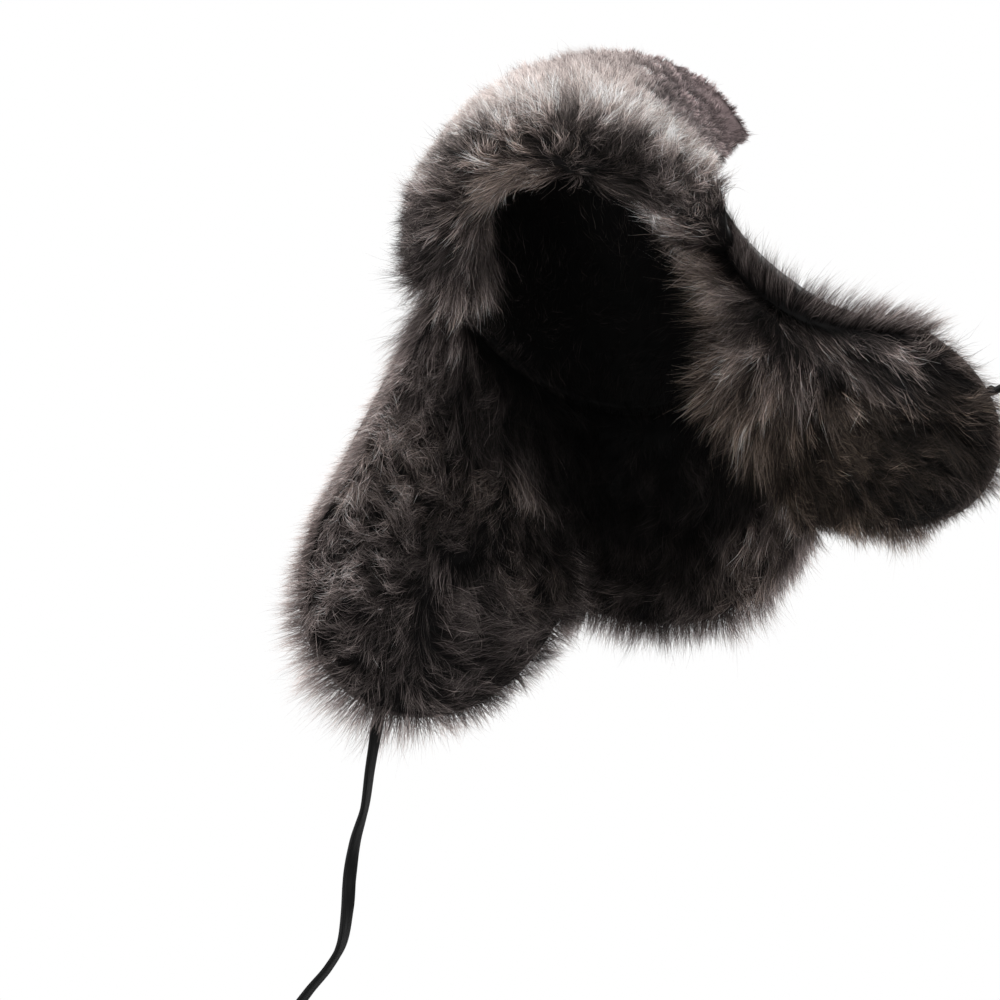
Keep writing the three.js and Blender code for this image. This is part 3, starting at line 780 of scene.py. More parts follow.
leatherSizes = {
    "crownColumns": 28,  # for each panel
    "crownRows": 36,
    "crownCrowd": 0.13,  # how far the columns crowd towards the seams
    "crownTop": 0.985,
    "seamWidth": 1.3,
    "seamDepth": 1.0,
    "seamFade": 12,  # the girth below which a seam grows shallower
    "skirtColumns": 72,
    "skirtRows": 60,
    "peakColumns": 90,
    "peakRows": 26,
    "rippleDepth": 0.5,
    "rippleScale": 1.6,
    "edgeRound": 0.5,
    "edgeSteps": 60,  # the rounding is one of so many steps wide
    "stitchLength": 2.6,
    "stitchGap": 1.3,
    "stitchRadius": 0.32,
    "stitchOffset": 3.2,
    "stitchRings": 4,
    "stitchCorners": 4,
    "stitchSink": 0.55,
    "seamStitches": (0.02, 0.86, 90),  # first and last place up a seam, and places along it
    "edgeStitches": (0.03, 0.97, 120),
    "sideStitches": (0.03, 0.95, 120),
    "edgeInset": 0.05,
    "endInset": 0.0375,
    "domeLean": (1, 0.6, 0.8),  # a point of the dome times this faces outwards
}


def domeGirth(rise):
    # The dome's mean radius at a rise
    return (hatSizes["halfWidth"] + hatSizes["halfDepth"]) / 2 * np.cos(rise * np.pi / 2)


def makeCrown(material):
    # The dome, sunk along each seam by a bell curve of the distance to it
    columns = leatherSizes["crownColumns"]
    panels = hatSizes["panelCount"]
    inPanel = np.arange(columns) / columns
    inPanel = inPanel - leatherSizes["crownCrowd"] * np.sin(2 * np.pi * inPanel)
    angle = ((np.arange(panels)[:, None] + inPanel[None]) * 360 / panels).ravel()
    rise = np.linspace(0, leatherSizes["crownTop"], leatherSizes["crownRows"])
    angle, rise = np.meshgrid(angle, rise)
    turn = np.radians(angle)
    toSeam = np.abs((turn * panels / (2 * np.pi) + 0.5) % 1 - 0.5) * 2 * np.pi / panels
    girth = domeGirth(rise)
    groove = leatherSizes["seamDepth"] * np.exp(-(toSeam * girth / leatherSizes["seamWidth"]) ** 2)
    groove *= np.clip(girth / leatherSizes["seamFade"], 0, 1)
    outer = domePoint(angle, rise, groove)
    inner = domePoint(angle, rise, hatSizes["leather"])
    vertices, faces = wallMesh(outer, inner, ring=True, apex=True)
    newPiece("crown_leather", vertices * mm, faces, material, ["crown_shell"])


def ripple(u, v, seed, waves=5, scale=3.0):
    # Smooth noise: a few sines whose directions and starts are drawn once
    draws = np.random.default_rng(seed)
    total = 0
    for _ in range(waves):
        a, b = draws.normal(0, scale, 2)
        total = total + np.sin(2 * np.pi * (a * u + b * v + draws.random()))
    return total / waves ** 0.5


def makeFlapLeather(side, node, material, seed):
    # A flap of the sheet as a wall; its outer face ripples inwards, and its edge is rounded
    surface = skirtSurface(side)
    u, v = shareGrid(leatherSizes["skirtColumns"], leatherSizes["skirtRows"])
    half = hatSizes["leather"] / 2
    shape = ripple(u, v, seed, scale=leatherSizes["rippleScale"]) * leatherSizes["rippleDepth"]
    shape = shape * np.sin(np.pi * v) * np.sin(np.pi * u)
    edge = np.minimum(np.minimum(v, 1 - v), np.minimum(u, 1 - u)) * leatherSizes["edgeSteps"]
    roundOff = leatherSizes["edgeRound"] * (1 - np.clip(edge, 0, 1)) ** 2
    outer = surface(u, v, half + np.minimum(shape, 0) - roundOff)[0]
    inner = surface(u, v, np.full_like(u, -half))[0]
    vertices, faces = wallMesh(outer, inner)
    newPiece(node + "_leather", vertices * mm, faces, material, [node])


def makePeakLeather(material):
    # The peak's sheet as a wall whose outer face is the sheet itself
    u, v = shareGrid(leatherSizes["peakColumns"], leatherSizes["peakRows"])
    outer = peakPath(u, v, np.zeros_like(u))[0]
    inner = peakPath(u, v, np.full_like(u, -hatSizes["leather"]))[0]
    vertices, faces = wallMesh(outer, inner)
    newPiece("peak_leather", vertices * mm, faces, material, ["front_peak"])


def stitchRow(path, out, sizes):
    # Short threads set along a line: each a spindle that sinks in at both ends
    step = np.linalg.norm(np.diff(path, axis=0), axis=1)
    travel = np.concatenate([[0], np.cumsum(step)])
    pitch = sizes["stitchLength"] + sizes["stitchGap"]
    starts = np.arange(pitch / 2, travel[-1] - pitch, pitch)
    rings, corners = sizes["stitchRings"], sizes["stitchCorners"]
    shares = np.linspace(0, 1, rings)
    at = starts[:, None] + shares[None] * sizes["stitchLength"]
    centre = np.stack([np.interp(at, travel, path[:, k]) for k in range(3)], axis=-1)
    away = unit(np.stack([np.interp(at, travel, out[:, k]) for k in range(3)], axis=-1))
    along = unit(centre[:, -1] - centre[:, 0])[:, None]
    side = unit(np.cross(np.broadcast_to(along, away.shape), away))
    swell = np.sin(np.pi * (0.12 + 0.76 * shares))
    rise = (swell - sizes["stitchSink"])[None, :, None] * sizes["stitchRadius"]
    turn = np.linspace(0, 2 * np.pi, corners, endpoint=False)[None, None, :, None]
    wide = np.cos(turn) * swell[None, :, None, None] * sizes["stitchRadius"]
    deep = np.sin(turn) * swell[None, :, None, None] * sizes["stitchRadius"]
    points = (centre + away * rise)[:, :, None] + side[:, :, None] * wide + away[:, :, None] * deep
    stitches = len(starts)
    number = np.arange(stitches * rings * corners).reshape(stitches, rings, corners)
    wrapped = np.concatenate([number, number[:, :, :1]], axis=2)
    near, far = wrapped[:, :-1], wrapped[:, 1:]
    quads = np.stack([near[..., :-1], near[..., 1:], far[..., 1:], far[..., :-1]], axis=-1)
    caps = np.concatenate([number[:, 0, ::-1], number[:, -1]])
    return points.reshape(-1, 3), [quads.reshape(-1, 4)[:, ::-1], caps[:, ::-1]]


def makeStitches(material):
    # A row on each side of every seam of the crown, and a row inside every edge of the flaps
    rows = []
    offset = leatherSizes["stitchOffset"]
    inset, endInset = leatherSizes["edgeInset"], leatherSizes["endInset"]
    rise = np.linspace(*leatherSizes["seamStitches"])
    for panel in range(hatSizes["panelCount"]):
        for side in (-1, 1):
            angle = panel * 360 / hatSizes["panelCount"] + side * np.degrees(offset / domeGirth(rise))
            path = domePoint(angle, rise, 0)
            rows.append(stitchRow(path, unit(path * leatherSizes["domeLean"]), leatherSizes))
    across = np.linspace(*leatherSizes["edgeStitches"])
    down = np.linspace(*leatherSizes["sideStitches"])
    flat = np.ones_like(across)
    lines = [
        (across, flat - endInset),
        (flat * inset, down),
        (flat - inset, down),
        (across, flat * endInset),
    ]
    for side in skirtSpans:
        for u, v in lines:
            point, _, _, out = skirtSurface(side)(u, v, flat * hatSizes["leather"] / 2)
            rows.append(stitchRow(point, out, leatherSizes))
    vertices, faces = joinParts(rows)
    newPiece("topstitching", vertices * mm, faces, material)


# Fur

hairSizes = {
    "segments": 3,
    "width": 0.2,
    "taper": 0.85,
    "taperPower": 1.6,
    "rootRise": 1.25,  # a hair's lift at its root, as a share of its table's lift
    "droop": 0.1,
    "curlFrom": 0.3,
    "tuftPower": 1.4,  # how late along a hair each of these sets in
    "gatherPower": 1.3,
    "strayPower": 1.4,
    "crimpPower": 0.7,
    "rowSpread": 19,  # how far a row of a combing table reaches, in picture pixels
    "flatten": 0.15,  # how much a hair that would point at the camera is held back
    "coatShare": {"left": 0.6, "neck": 0.6, "right": 0.8},  # how much of the pile the undercoat fills
    "rootDepth": 0.9,  # how deep hairs start, as a share of the undercoat
    "edgeLean": (0.2, 0.5),  # how far a flap's fringe leans to the fur side, and more with its depth
}
combColumns = "x y way length lift tone tint pale"


def combRows(rows, pale=0):
    # Each row: a root's place in the picture, the way the hair points there (0 right, 90 up), its length
    # and lift, how light it is and how much it takes the tint; pale is how pale all the rows are. How
    # light a row is holds the fur's own patches and painted light and shade: painted light on lit edges
    # and tops, painted shade in the hollow and on fur turned away from the light
    return readTable(combColumns, [(*row, pale) for row in rows])


def joinTables(*tables):
    # The rows of several tables, one after another
    return {key: np.concatenate([table[key] for table in tables]) for key in tables[0]}


def inPicture(points):
    # Where points in millimetres fall in the picture, and the camera's right and up
    right, up, back, place = cameraAxes(cameraView)
    apart = points * mm - place
    depth = -(apart @ back)
    scale = cameraView["distance"] / (cameraView["mmPerPixel"] * mm)
    half = cameraView["pictureSize"] / 2
    return half + scale * (apart @ right) / depth, half - scale * (apart @ up) / depth, right, up


def combAt(table, points):
    # A row counts for less as a bell curve of its distance in the picture; ways are averaged as arrows
    x, y, right, up = inPicture(points)
    apart = (x[:, None] - table["x"]) ** 2 + (y[:, None] - table["y"]) ** 2
    share = np.exp((apart.min(1, keepdims=True) - apart) / (2 * hairSizes["rowSpread"] ** 2))
    share = share / share.sum(1, keepdims=True)
    way = np.radians(table["way"])
    arrow = np.stack([share @ np.cos(way), share @ np.sin(way)], axis=-1)
    values = {key: share @ table[key] for key in ("length", "lift", "tone", "tint", "pale")}
    return unit(arrow), values, right, up


def layOn(arrow, first, second, right, up):
    # The direction in the surface whose picture is the arrow, by least squares damped a little
    a, b, c, d = (np.einsum("ij,j->i", way, axis) for axis in (right, up) for way in (first, second))
    damp = hairSizes["flatten"]
    one, both, two = a * a + c * c + damp, a * b + c * d, b * b + d * d + damp
    p, q = a * arrow[:, 0] + c * arrow[:, 1], b * arrow[:, 0] + d * arrow[:, 1]
    whole = one * two - both ** 2
    alongFirst, alongSecond = (two * p - both * q) / whole, (one * q - both * p) / whole
    return unit(first * alongFirst[:, None] + second * alongSecond[:, None])


def scatter(surface, count, draws, weight=None, cells=(64, 48)):
    # Places spread evenly over a surface: a cell is drawn by its area and weight, then a place in it
    u, v = np.meshgrid(np.linspace(0, 1, cells[0] + 1), np.linspace(0, 1, cells[1] + 1), indexing="ij")
    point = surface(u, v)
    area = np.linalg.norm(np.cross(
        point[1:, :-1] - point[:-1, :-1], point[:-1, 1:] - point[:-1, :-1]), axis=-1)
    middle = (u[:-1, :-1] + 0.5 / cells[0], v[:-1, :-1] + 0.5 / cells[1])
    chance = area * (1 if weight is None else weight(*middle))
    chosen = draws.choice(area.size, count, p=(chance / chance.sum()).ravel())
    row, column = np.unravel_index(chosen, area.shape)
    return (row + draws.random(count)) / cells[0], (column + draws.random(count)) / cells[1]


def nearest(places, centres, block=4000):
    # The number of the nearest centre to each place
    found = [
        np.argmin((centres ** 2).sum(1)[None] - 2 * places[k:k + block] @ centres.T, axis=1)
        for k in range(0, len(places), block)
    ]
    return np.concatenate(found)


def growPath(root, flow, away, turn, length, lift, curl, segments):
    # A hair's line: its way lies in the surface, turned from the flow by turn and by a curl that grows
    # from root to tip, and rises off the surface by a lift that falls from root to tip
    share = (np.arange(segments) + 0.5) / segments
    sweep = np.cross(away, flow)
    angle = np.radians(turn[:, None] + curl[:, None] * (share[None] - hairSizes["curlFrom"]))
    rise = lift[:, None] * (hairSizes["rootRise"] - share[None]) - hairSizes["droop"] * share[None]
    way = unit(
        flow[:, None] * np.cos(angle)[..., None]
        + sweep[:, None] * np.sin(angle)[..., None]
        + away[:, None] * rise[..., None]
    )
    steps = way * (length[:, None] / segments)[..., None]
    line = np.concatenate([np.zeros((len(root), 1, 3)), np.cumsum(steps, axis=1)], axis=1)
    return line + root[:, None]


def ribbons(lines, away, width, roll):
    # Each line becomes a ribbon that narrows to a point, turned about the line by the roll
    count, marks = lines.shape[:2]
    tangent = unit(np.gradient(lines, axis=1))
    side = unit(np.cross(tangent, away[:, None]))
    face = np.cross(side, tangent)
    side = side * np.cos(roll)[:, None, None] + face * np.sin(roll)[:, None, None]
    share = np.linspace(0, 1, marks)
    half = width[:, None] / 2 * (1 - share[None] ** hairSizes["taperPower"] * hairSizes["taper"])
    left = lines[:, :-1] + side[:, :-1] * half[:, :-1, None]
    right = lines[:, :-1] - side[:, :-1] * half[:, :-1, None]
    body = np.stack([left, right], axis=2).reshape(count, -1, 3)
    vertices = np.concatenate([body, lines[:, -1:]], axis=1)
    each = vertices.shape[1]
    pairs = np.arange(0, each - 3, 2)
    strip = np.concatenate([
        np.stack([pairs, pairs + 1, pairs + 3], axis=-1),
        np.stack([pairs, pairs + 3, pairs + 2], axis=-1),
        [[each - 3, each - 2, each - 1]],
    ])
    faces = (np.arange(count)[:, None, None] * each + strip[None]).reshape(-1, 3)
    alongHair = np.concatenate([np.repeat(share[:-1], 2), [1]])
    return vertices.reshape(-1, 3), faces, np.broadcast_to(alongHair, (count, each)).ravel(), each


plainBed = {
    "tufts": 0.12,  # tufts for each clump
    "clumps": 0.07,  # clumps for each hair
    "tuftTurn": 17,
    "clumpTurn": 13,
    "curl": 46,  # a tuft's, and then a clump's share of it
    "clumpCurl": 0.6,
    "gather": 0.4,  # how far hairs lean into their clump
    "tuftGather": 0.2,
    "stray": 2.0,  # how far a hair's tip strays from its clump's line, in millimetres
    "crimp": 0.75,
    "flyaway": 0.16,  # the share of hairs that stand apart
    "tuftTone": 0.4,
    "clumpTone": 0.42,
    "hairTone": 0.5,
    "tuftLength": (0.8, 1.2),  # lengths and widths vary between these shares
    "clumpLength": (0.85, 1.15),
    "hairLength": (0.55, 1.08),
    "hairGather": (0.5, 1.2),
    "hairWidth": (0.7, 1.3),
    "hairRoll": 0.6,
    "liftSpread": (0.07, 0.06),  # of a tuft and of a clump
    "tintSpread": 0.15,
    "tintLeast": 0.02,  # hairs with less of the tint than this have none
    "paleSpread": 0.12,
    "paleStep": (0.3, 0.7),
    "loose": {"length": 1.12, "gather": 0.15, "stray": 1.8, "width": 0.75},  # how a flyaway hair differs
    "thin": 1,
    "free": 0,  # 1 where hairs leave an edge and follow the picture alone
    "start": 0,  # how far along its colours a hair starts at its root
}


def growClumps(bed, table, draws, clumps, tufts):
    # A guide line for each clump: the table's values, varied by tuft and by clump, and drawn
    # towards the middle of its tuft as a power of the share along it
    place = lambda u, v: bed["frameAt"](u, v)[0]
    weight = bed.get("weight")
    tuftRoot = place(*scatter(place, tufts, draws, weight))
    root, flow, sweep, away = bed["frameAt"](*scatter(place, clumps, draws, weight))
    inTuft = nearest(root, tuftRoot)
    arrow, values, right, up = combAt(table, root)
    onSkin = layOn(arrow, flow, sweep, right, up)
    inAir = arrow[:, :1] * right + arrow[:, 1:] * up
    flow = unit(onSkin * (1 - bed["free"]) + inAir * bed["free"])
    turn = draws.normal(0, bed["tuftTurn"], tufts)[inTuft] + draws.normal(0, bed["clumpTurn"], clumps)
    tuftCurl, clumpCurl = bed["curl"], bed["curl"] * bed["clumpCurl"]
    curl = draws.normal(0, tuftCurl, tufts)[inTuft] + draws.normal(0, clumpCurl, clumps)
    length = values["length"] * draws.uniform(*bed["tuftLength"], tufts)[inTuft]
    length = length * draws.uniform(*bed["clumpLength"], clumps)
    tuftLift, clumpLift = bed["liftSpread"]
    lift = values["lift"] + draws.normal(0, tuftLift, tufts)[inTuft] + draws.normal(0, clumpLift, clumps)
    guides = growPath(root, flow, away, turn, length, lift, curl, hairSizes["segments"])
    towards = (tuftRoot[inTuft] - root)[:, None] * bed["tuftGather"]
    return root, inTuft, guides + towards * alongLine() ** hairSizes["tuftPower"]


def alongLine():
    # The share along a hair at each of its marks, shaped to multiply points
    return np.linspace(0, 1, hairSizes["segments"] + 1)[None, :, None]


def growHairs(bed, draws, root, owner, guideRoot, guides):
    # Each hair copies its clump's line, leans in to it, and strays more towards its tip
    count, share, loose = bed["hairs"], alongLine(), bed["loose"]
    apart = draws.random(count) < bed["flyaway"]
    stretch = draws.uniform(*bed["hairLength"], count) * np.where(apart, loose["length"], 1)
    gather = bed["gather"] * draws.uniform(*bed["hairGather"], count)
    gather = gather * np.where(apart, loose["gather"], 1)
    wild = np.where(apart, loose["stray"], 1)[:, None, None]
    stray = draws.normal(0, bed["stray"], (count, 1, 3))
    crimp = draws.normal(0, bed["crimp"], (count, hairSizes["segments"] + 1, 3))
    lines = (
        root[:, None]
        + (guides[owner] - guideRoot[owner][:, None]) * stretch[:, None, None]
        + (guideRoot[owner] - root)[:, None] * gather[:, None, None] * share ** hairSizes["gatherPower"]
        + stray * wild * share ** hairSizes["strayPower"]
        + crimp * wild * share ** hairSizes["crimpPower"]
    )
    width = hairSizes["width"] * bed["thin"] * draws.uniform(*bed["hairWidth"], count)
    return lines, width * np.where(apart, loose["width"], 1)


def growBed(bed, table, seed):
    # Hairs in clumps, and clumps in tufts; a hair's colours follow the table at its root, with its
    # painted light and shade
    bed = {**plainBed, **bed}
    table, count = bed.get("comb", table), bed["hairs"]
    draws = np.random.default_rng(seed)
    place = lambda u, v: bed["frameAt"](u, v)[0]
    clumps = max(int(count * bed["clumps"]), 4)
    tufts = max(int(clumps * bed["tufts"]), 2)
    guideRoot, inTuft, guides = growClumps(bed, table, draws, clumps, tufts)
    root, _, _, away = bed["frameAt"](*scatter(place, count, draws, bed.get("weight")))
    owner = nearest(root, guideRoot)
    lines, width = growHairs(bed, draws, root, owner, guideRoot, guides)
    roll = draws.normal(0, bed["hairRoll"], count)
    vertices, faces, alongHair, each = ribbons(lines, away, width, roll)
    values = combAt(table, root)[1]
    spread = (
        draws.normal(0, bed["tuftTone"], tufts)[inTuft][owner]
        + draws.normal(0, bed["clumpTone"], clumps)[owner]
        + draws.normal(0, bed["hairTone"], count)
    )
    tone = values["tone"] * np.exp(spread)
    tinted = values["tint"] > bed["tintLeast"]
    tint = values["tint"] + draws.normal(0, bed["tintSpread"], count) * tinted
    pale = values["pale"] + draws.normal(0, bed["paleSpread"], count)
    pale = smoothStep(*bed["paleStep"], pale)
    colour = np.stack([tone, pale, np.clip(tint, 0, 1)], axis=-1).repeat(each, axis=0)
    along = bed["start"] + (1 - bed["start"]) * alongHair
    return vertices, [faces], np.concatenate([along[:, None], colour], axis=-1)


def growFur(name, beds, table, coat, coatLook, seed, material, stands=()):
    # All the beds of hair and the closed undercoat that they stand in, as one mesh; the undercoat's
    # colours follow the combing table too, with its painted light and shade
    grown = [growBed(bed, table, seed * 10 + number) for number, bed in enumerate(beds)]
    points, faces = coat
    fans = [part[:, [0, k, k + 1]] for part in faces for k in range(1, part.shape[1] - 1)]
    values = combAt(table, points)[1]
    tone = values["tone"] * coatLook["tone"]
    along = np.full_like(tone, coatLook["along"])
    colour = np.stack([along, tone, values["pale"], values["tint"]], axis=-1)
    grown.append((points, [np.concatenate(fans)], colour))
    vertices, faces, hair = joinParts(grown)
    newPiece(name, vertices * mm, faces, material, stands, hair=hair)


furBack = hatSizes["leather"] / 2 + hatSizes["seamGap"]
pileEnds = {"free": (0.45, 0.18), "root": (0.5, 0.1)}  # its share at an end, and how far it thins there


def skirtPile(side, u, v):
    # The table's depth, in straight lines down to a share of it at the free edge and at the rim
    first, last = skirtSpans[side]
    (free, freeReach), (root, rootReach) = pileEnds["free"], pileEnds["root"]
    towardsFree = np.minimum(1, free + (1 - free) * (1 - v) / freeReach)
    thin = np.minimum(towardsFree, root + (1 - root) * v / rootReach)
    return fromTable(skirtTable, "angle", first + (last - first) * u, "pile") * thin


def skirtCoat(side):
    # A wall on the flap's inner face, as thick as the undercoat's share of the pile
    surface = skirtSurface(side)
    u, v = shareGrid(40, 40)
    outer = surface(u, v, np.full_like(u, -furBack))[0]
    inner = surface(u, v, -furBack - skirtPile(side, u, v) * hairSizes["coatShare"][side])[0]
    return wallMesh(outer, inner)


def skirtBed(side):
    # Just under the undercoat's face, with the ways down, round and off the flap
    surface = skirtSurface(side)
    share = hairSizes["coatShare"][side] * hairSizes["rootDepth"]

    def frameAt(u, v):
        point, around, down, out = surface(u, v, -furBack - skirtPile(side, u, v) * share)
        return point, down, around, -out
    return frameAt


def skirtEdge(side, edge):
    # Along one edge of a flap and through the depth of its undercoat; away points past the edge
    surface = skirtSurface(side)
    downwards, sideways = {"first": (0, -1), "last": (0, 1), "end": (1, 0), "root": (-1, 0)}[edge]

    def frameAt(along, deep):
        u = {"first": 0 * along, "last": 0 * along + 1}.get(edge, along)
        v = {"root": 0 * along, "end": 0 * along + 1}.get(edge, along)
        pile = skirtPile(side, u, v) * hairSizes["coatShare"][side]
        point, around, down, out = surface(u, v, -furBack - pile * deep)
        lean = hairSizes["edgeLean"][0] + hairSizes["edgeLean"][1] * deep
        away = unit(down * downwards + around * sideways - out * lean[..., None])
        return point, down, around, away
    return frameAt


# The tone paints light and shade: painted light on the flap's left side, near-black painted shade towards
# the neck
leftComb = combRows([
    # x, y, way, length, lift, tone, tint
    (440, 300, 240, 30, 0.4, 0.8, 0),
    (405, 380, 205, 24, 0.35, 2.2, 0),
    (385, 420, 190, 22, 0.35, 2.6, 0),
    (430, 370, 215, 26, 0.35, 0.5, 0),
    (470, 370, 250, 28, 0.35, 0.15, 0),
    (365, 470, 182, 20, 0.35, 2.4, 0.1),
    (420, 440, 172, 24, 0.35, 1.2, 0.1),
    (400, 490, 174, 24, 0.35, 1.2, 0.1),
    (450, 430, 200, 22, 0.35, 0.3, 0),
    (480, 440, 285, 24, 0.35, 0.12, 0),
    (520, 440, 285, 26, 0.35, 0.05, 0),
    (570, 450, 275, 28, 0.35, 0.04, 0),
    (490, 475, 250, 18, 0.6, 0.9, 0.3),
    (510, 500, 285, 20, 0.4, 0.25, 0.1),
    (545, 520, 275, 22, 0.4, 0.08, 0),
    (445, 510, 185, 22, 0.4, 0.35, 0.1),
    (335, 530, 186, 20, 0.3, 1.7, 0),
    (375, 520, 172, 22, 0.4, 0.8, 0),
    (320, 580, 190, 18, 0.3, 1.7, 0),
    (350, 565, 180, 22, 0.4, 1.6, 0),
    (378, 600, 200, 22, 0.4, 0.9, 0),
    (400, 560, 175, 22, 0.5, 0.6, 0),
    (445, 555, 200, 22, 0.5, 0.5, 0),
    (480, 590, 320, 22, 0.4, 0.4, 0),
    (525, 570, 250, 18, 0.5, 0.35, 0.2),
    (405, 630, 200, 20, 0.4, 0.45, 0),
    (440, 615, 350, 22, 0.4, 0.5, 0),
    (435, 660, 340, 20, 0.4, 0.3, 0),
    (480, 640, 345, 22, 0.4, 0.4, 0),
    (505, 670, 20, 22, 0.4, 0.55, 0),
    (545, 640, 350, 20, 0.4, 0.35, 0),
    (575, 615, 318, 20, 0.4, 0.35, 0),
    (310, 630, 192, 20, 0.3, 0.9, 0),
    (335, 640, 178, 20, 0.4, 0.75, 0),
    (322, 680, 205, 20, 0.3, 0.8, 0),
    (350, 685, 195, 20, 0.4, 0.55, 0),
    (375, 700, 220, 18, 0.4, 0.35, 0),
    (400, 675, 240, 20, 0.5, 0.5, 0),
    (425, 705, 320, 18, 0.4, 0.35, 0),
    (470, 700, 345, 18, 0.4, 0.35, 0),
    (505, 695, 330, 16, 0.4, 0.4, 0),
])
# The fringe's high tone is painted light along the flap's lit edge
leftFringe = combRows([
    (425, 320, 225, 22, 0.2, 0.9, 0),
    (400, 370, 210, 11, 0.1, 1.8, 0),
    (370, 420, 195, 9, 0.1, 2.0, 0),
    (340, 490, 190, 9, 0.1, 2.0, 0),
    (310, 560, 188, 11, 0.1, 2.0, 0),
    (300, 620, 192, 16, 0.1, 1.7, 0),
    (315, 680, 208, 22, 0.1, 1.5, 0),
    (345, 715, 222, 24, 0.1, 1.4, 0),
    (390, 730, 255, 20, 0.1, 1.2, 0),
    (450, 725, 300, 14, 0.1, 1.0, 0),
    (510, 700, 315, 10, 0.1, 0.8, 0),
    (560, 650, 325, 14, 0.1, 0.7, 0),
])
fringe = {
    "comb": leftFringe, "free": 0.75, "start": 0.42, "thin": 0.85, "flyaway": 0.3, "clumps": 0.3,
    "gather": 0.08, "tuftTurn": 8, "curl": 26, "tuftTone": 0.2, "clumpTone": 0.2,
    "stray": 1.2, "crimp": 0.4,
}
leftRoot = combRows([
    (430, 300, 270, 12, 0.3, 0.8, 0),
    (470, 350, 50, 12, 0.3, 0.1, 0),
    (600, 400, 90, 20, 0.3, 0.04, 0),
])
leftBeds = [
    {"frameAt": skirtBed("left"), "hairs": 23400},
    {**fringe, "frameAt": skirtEdge("left", "first"), "hairs": 7000,
     "weight": lambda along, deep: 1 + 2 * smoothStep(0.6, 1, along)},
    {**fringe, "frameAt": skirtEdge("left", "end"), "hairs": 5600,
     "weight": lambda along, deep: 1 + 2 * smoothStep(0.5, 0, along)},
    {**fringe, "frameAt": skirtEdge("left", "last"), "hairs": 900,
     "weight": lambda along, deep: smoothStep(0.6, 0.75, along)},
    {**fringe, "frameAt": skirtEdge("left", "root"), "hairs": 900, "comb": leftRoot},
]

# The tone holds the fur's streaks and paints the flap's light and shade: painted light where its root and
# ridge face the light, painted shade where it turns away
rightComb = combRows([
    # x, y, way, length, lift, tone, tint
    (700, 250, 190, 36, 0.9, 0.7, 0.3),
    (735, 262, 205, 36, 0.9, 0.6, 0.3),
    (690, 300, 190, 40, 0.9, 1.5, 0.8),
    (735, 300, 205, 38, 0.8, 0.7, 0.5),
    (695, 350, 205, 42, 0.9, 1.2, 0.8),
    (735, 345, 215, 40, 0.7, 1.1, 0.5),
    (700, 400, 232, 42, 0.8, 0.9, 0.8),
    (740, 390, 240, 40, 0.6, 0.9, 0.6),
    (700, 450, 255, 40, 0.7, 0.5, 0.6),
    (755, 305, 215, 28, 0.6, 0.12, 0),
    (765, 375, 255, 38, 0.4, 1.2, 0.5),
    (760, 340, 236, 38, 0.5, 1.5, 0.3),
    (775, 300, 60, 16, 0.4, 0.06, 0),
    (775, 318, 250, 18, 0.4, 0.1, 0),
    (810, 305, 50, 16, 0.4, 0.06, 0),
    (810, 325, 266, 18, 0.4, 0.1, 0),
    (850, 318, 40, 16, 0.35, 0.08, 0),
    (855, 335, 290, 16, 0.35, 0.1, 0),
    (890, 335, 20, 16, 0.35, 0.12, 0),
    (920, 345, 5, 18, 0.35, 0.3, 0),
    (960, 360, 355, 20, 0.3, 0.35, 0.1),
    (785, 345, 264, 34, 0.4, 1.7, 0.1),
    (825, 350, 284, 34, 0.4, 1.7, 0.1),
    (862, 355, 304, 28, 0.35, 1.2, 0),
    (898, 365, 324, 30, 0.3, 0.35, 0.2),
    (940, 385, 345, 30, 0.3, 0.25, 0.7),
    (985, 405, 352, 22, 0.3, 0.25, 0.7),
    (790, 400, 270, 36, 0.4, 0.25, 0.7),
    (840, 400, 318, 34, 0.35, 0.12, 0.7),
    (880, 415, 340, 32, 0.35, 0.06, 0.7),
    (930, 425, 348, 30, 0.3, 0.06, 0.7),
    (975, 440, 340, 24, 0.3, 0.12, 0.5),
    (740, 430, 256, 36, 0.4, 0.3, 0.7),
    (780, 445, 272, 36, 0.4, 0.12, 0.7),
    (830, 440, 330, 34, 0.35, 0.14, 0.8),
    (870, 455, 345, 30, 0.3, 0.2, 0.8),
    (910, 460, 350, 28, 0.25, 0.1, 0.7),
    (950, 465, 340, 22, 0.25, 0.06, 0.5),
    (720, 490, 268, 38, 0.4, 0.4, 0.7),
    (755, 490, 272, 38, 0.4, 0.45, 0.7),
    (800, 480, 290, 28, 0.35, 0.15, 0.8),
    (850, 490, 312, 22, 0.3, 0.16, 0.8),
    (900, 500, 310, 16, 0.25, 0.1, 0.5),
    (945, 490, 320, 10, 0.2, 0.1, 0.2),
    (985, 470, 322, 16, 0.2, 0.15, 0.2),
    (725, 545, 268, 36, 0.35, 0.6, 0.5),
    (760, 545, 266, 34, 0.35, 0.6, 0.5),
    (790, 535, 275, 16, 0.3, 0.4, 0.2),
    (715, 590, 268, 26, 0.35, 0.5, 0.2),
])
rightRidge = combRows([
    (745, 250, 75, 13, 0.3, 0.6, 0),
    (775, 275, 66, 17, 0.3, 0.7, 0),
    (815, 290, 52, 17, 0.3, 0.8, 0),
    (855, 305, 44, 17, 0.3, 0.9, 0),
    (900, 320, 36, 17, 0.3, 1.0, 0),
    (940, 335, 22, 14, 0.3, 1.4, 0.1),
    (980, 370, 355, 14, 0.3, 1.4, 0.2),
])
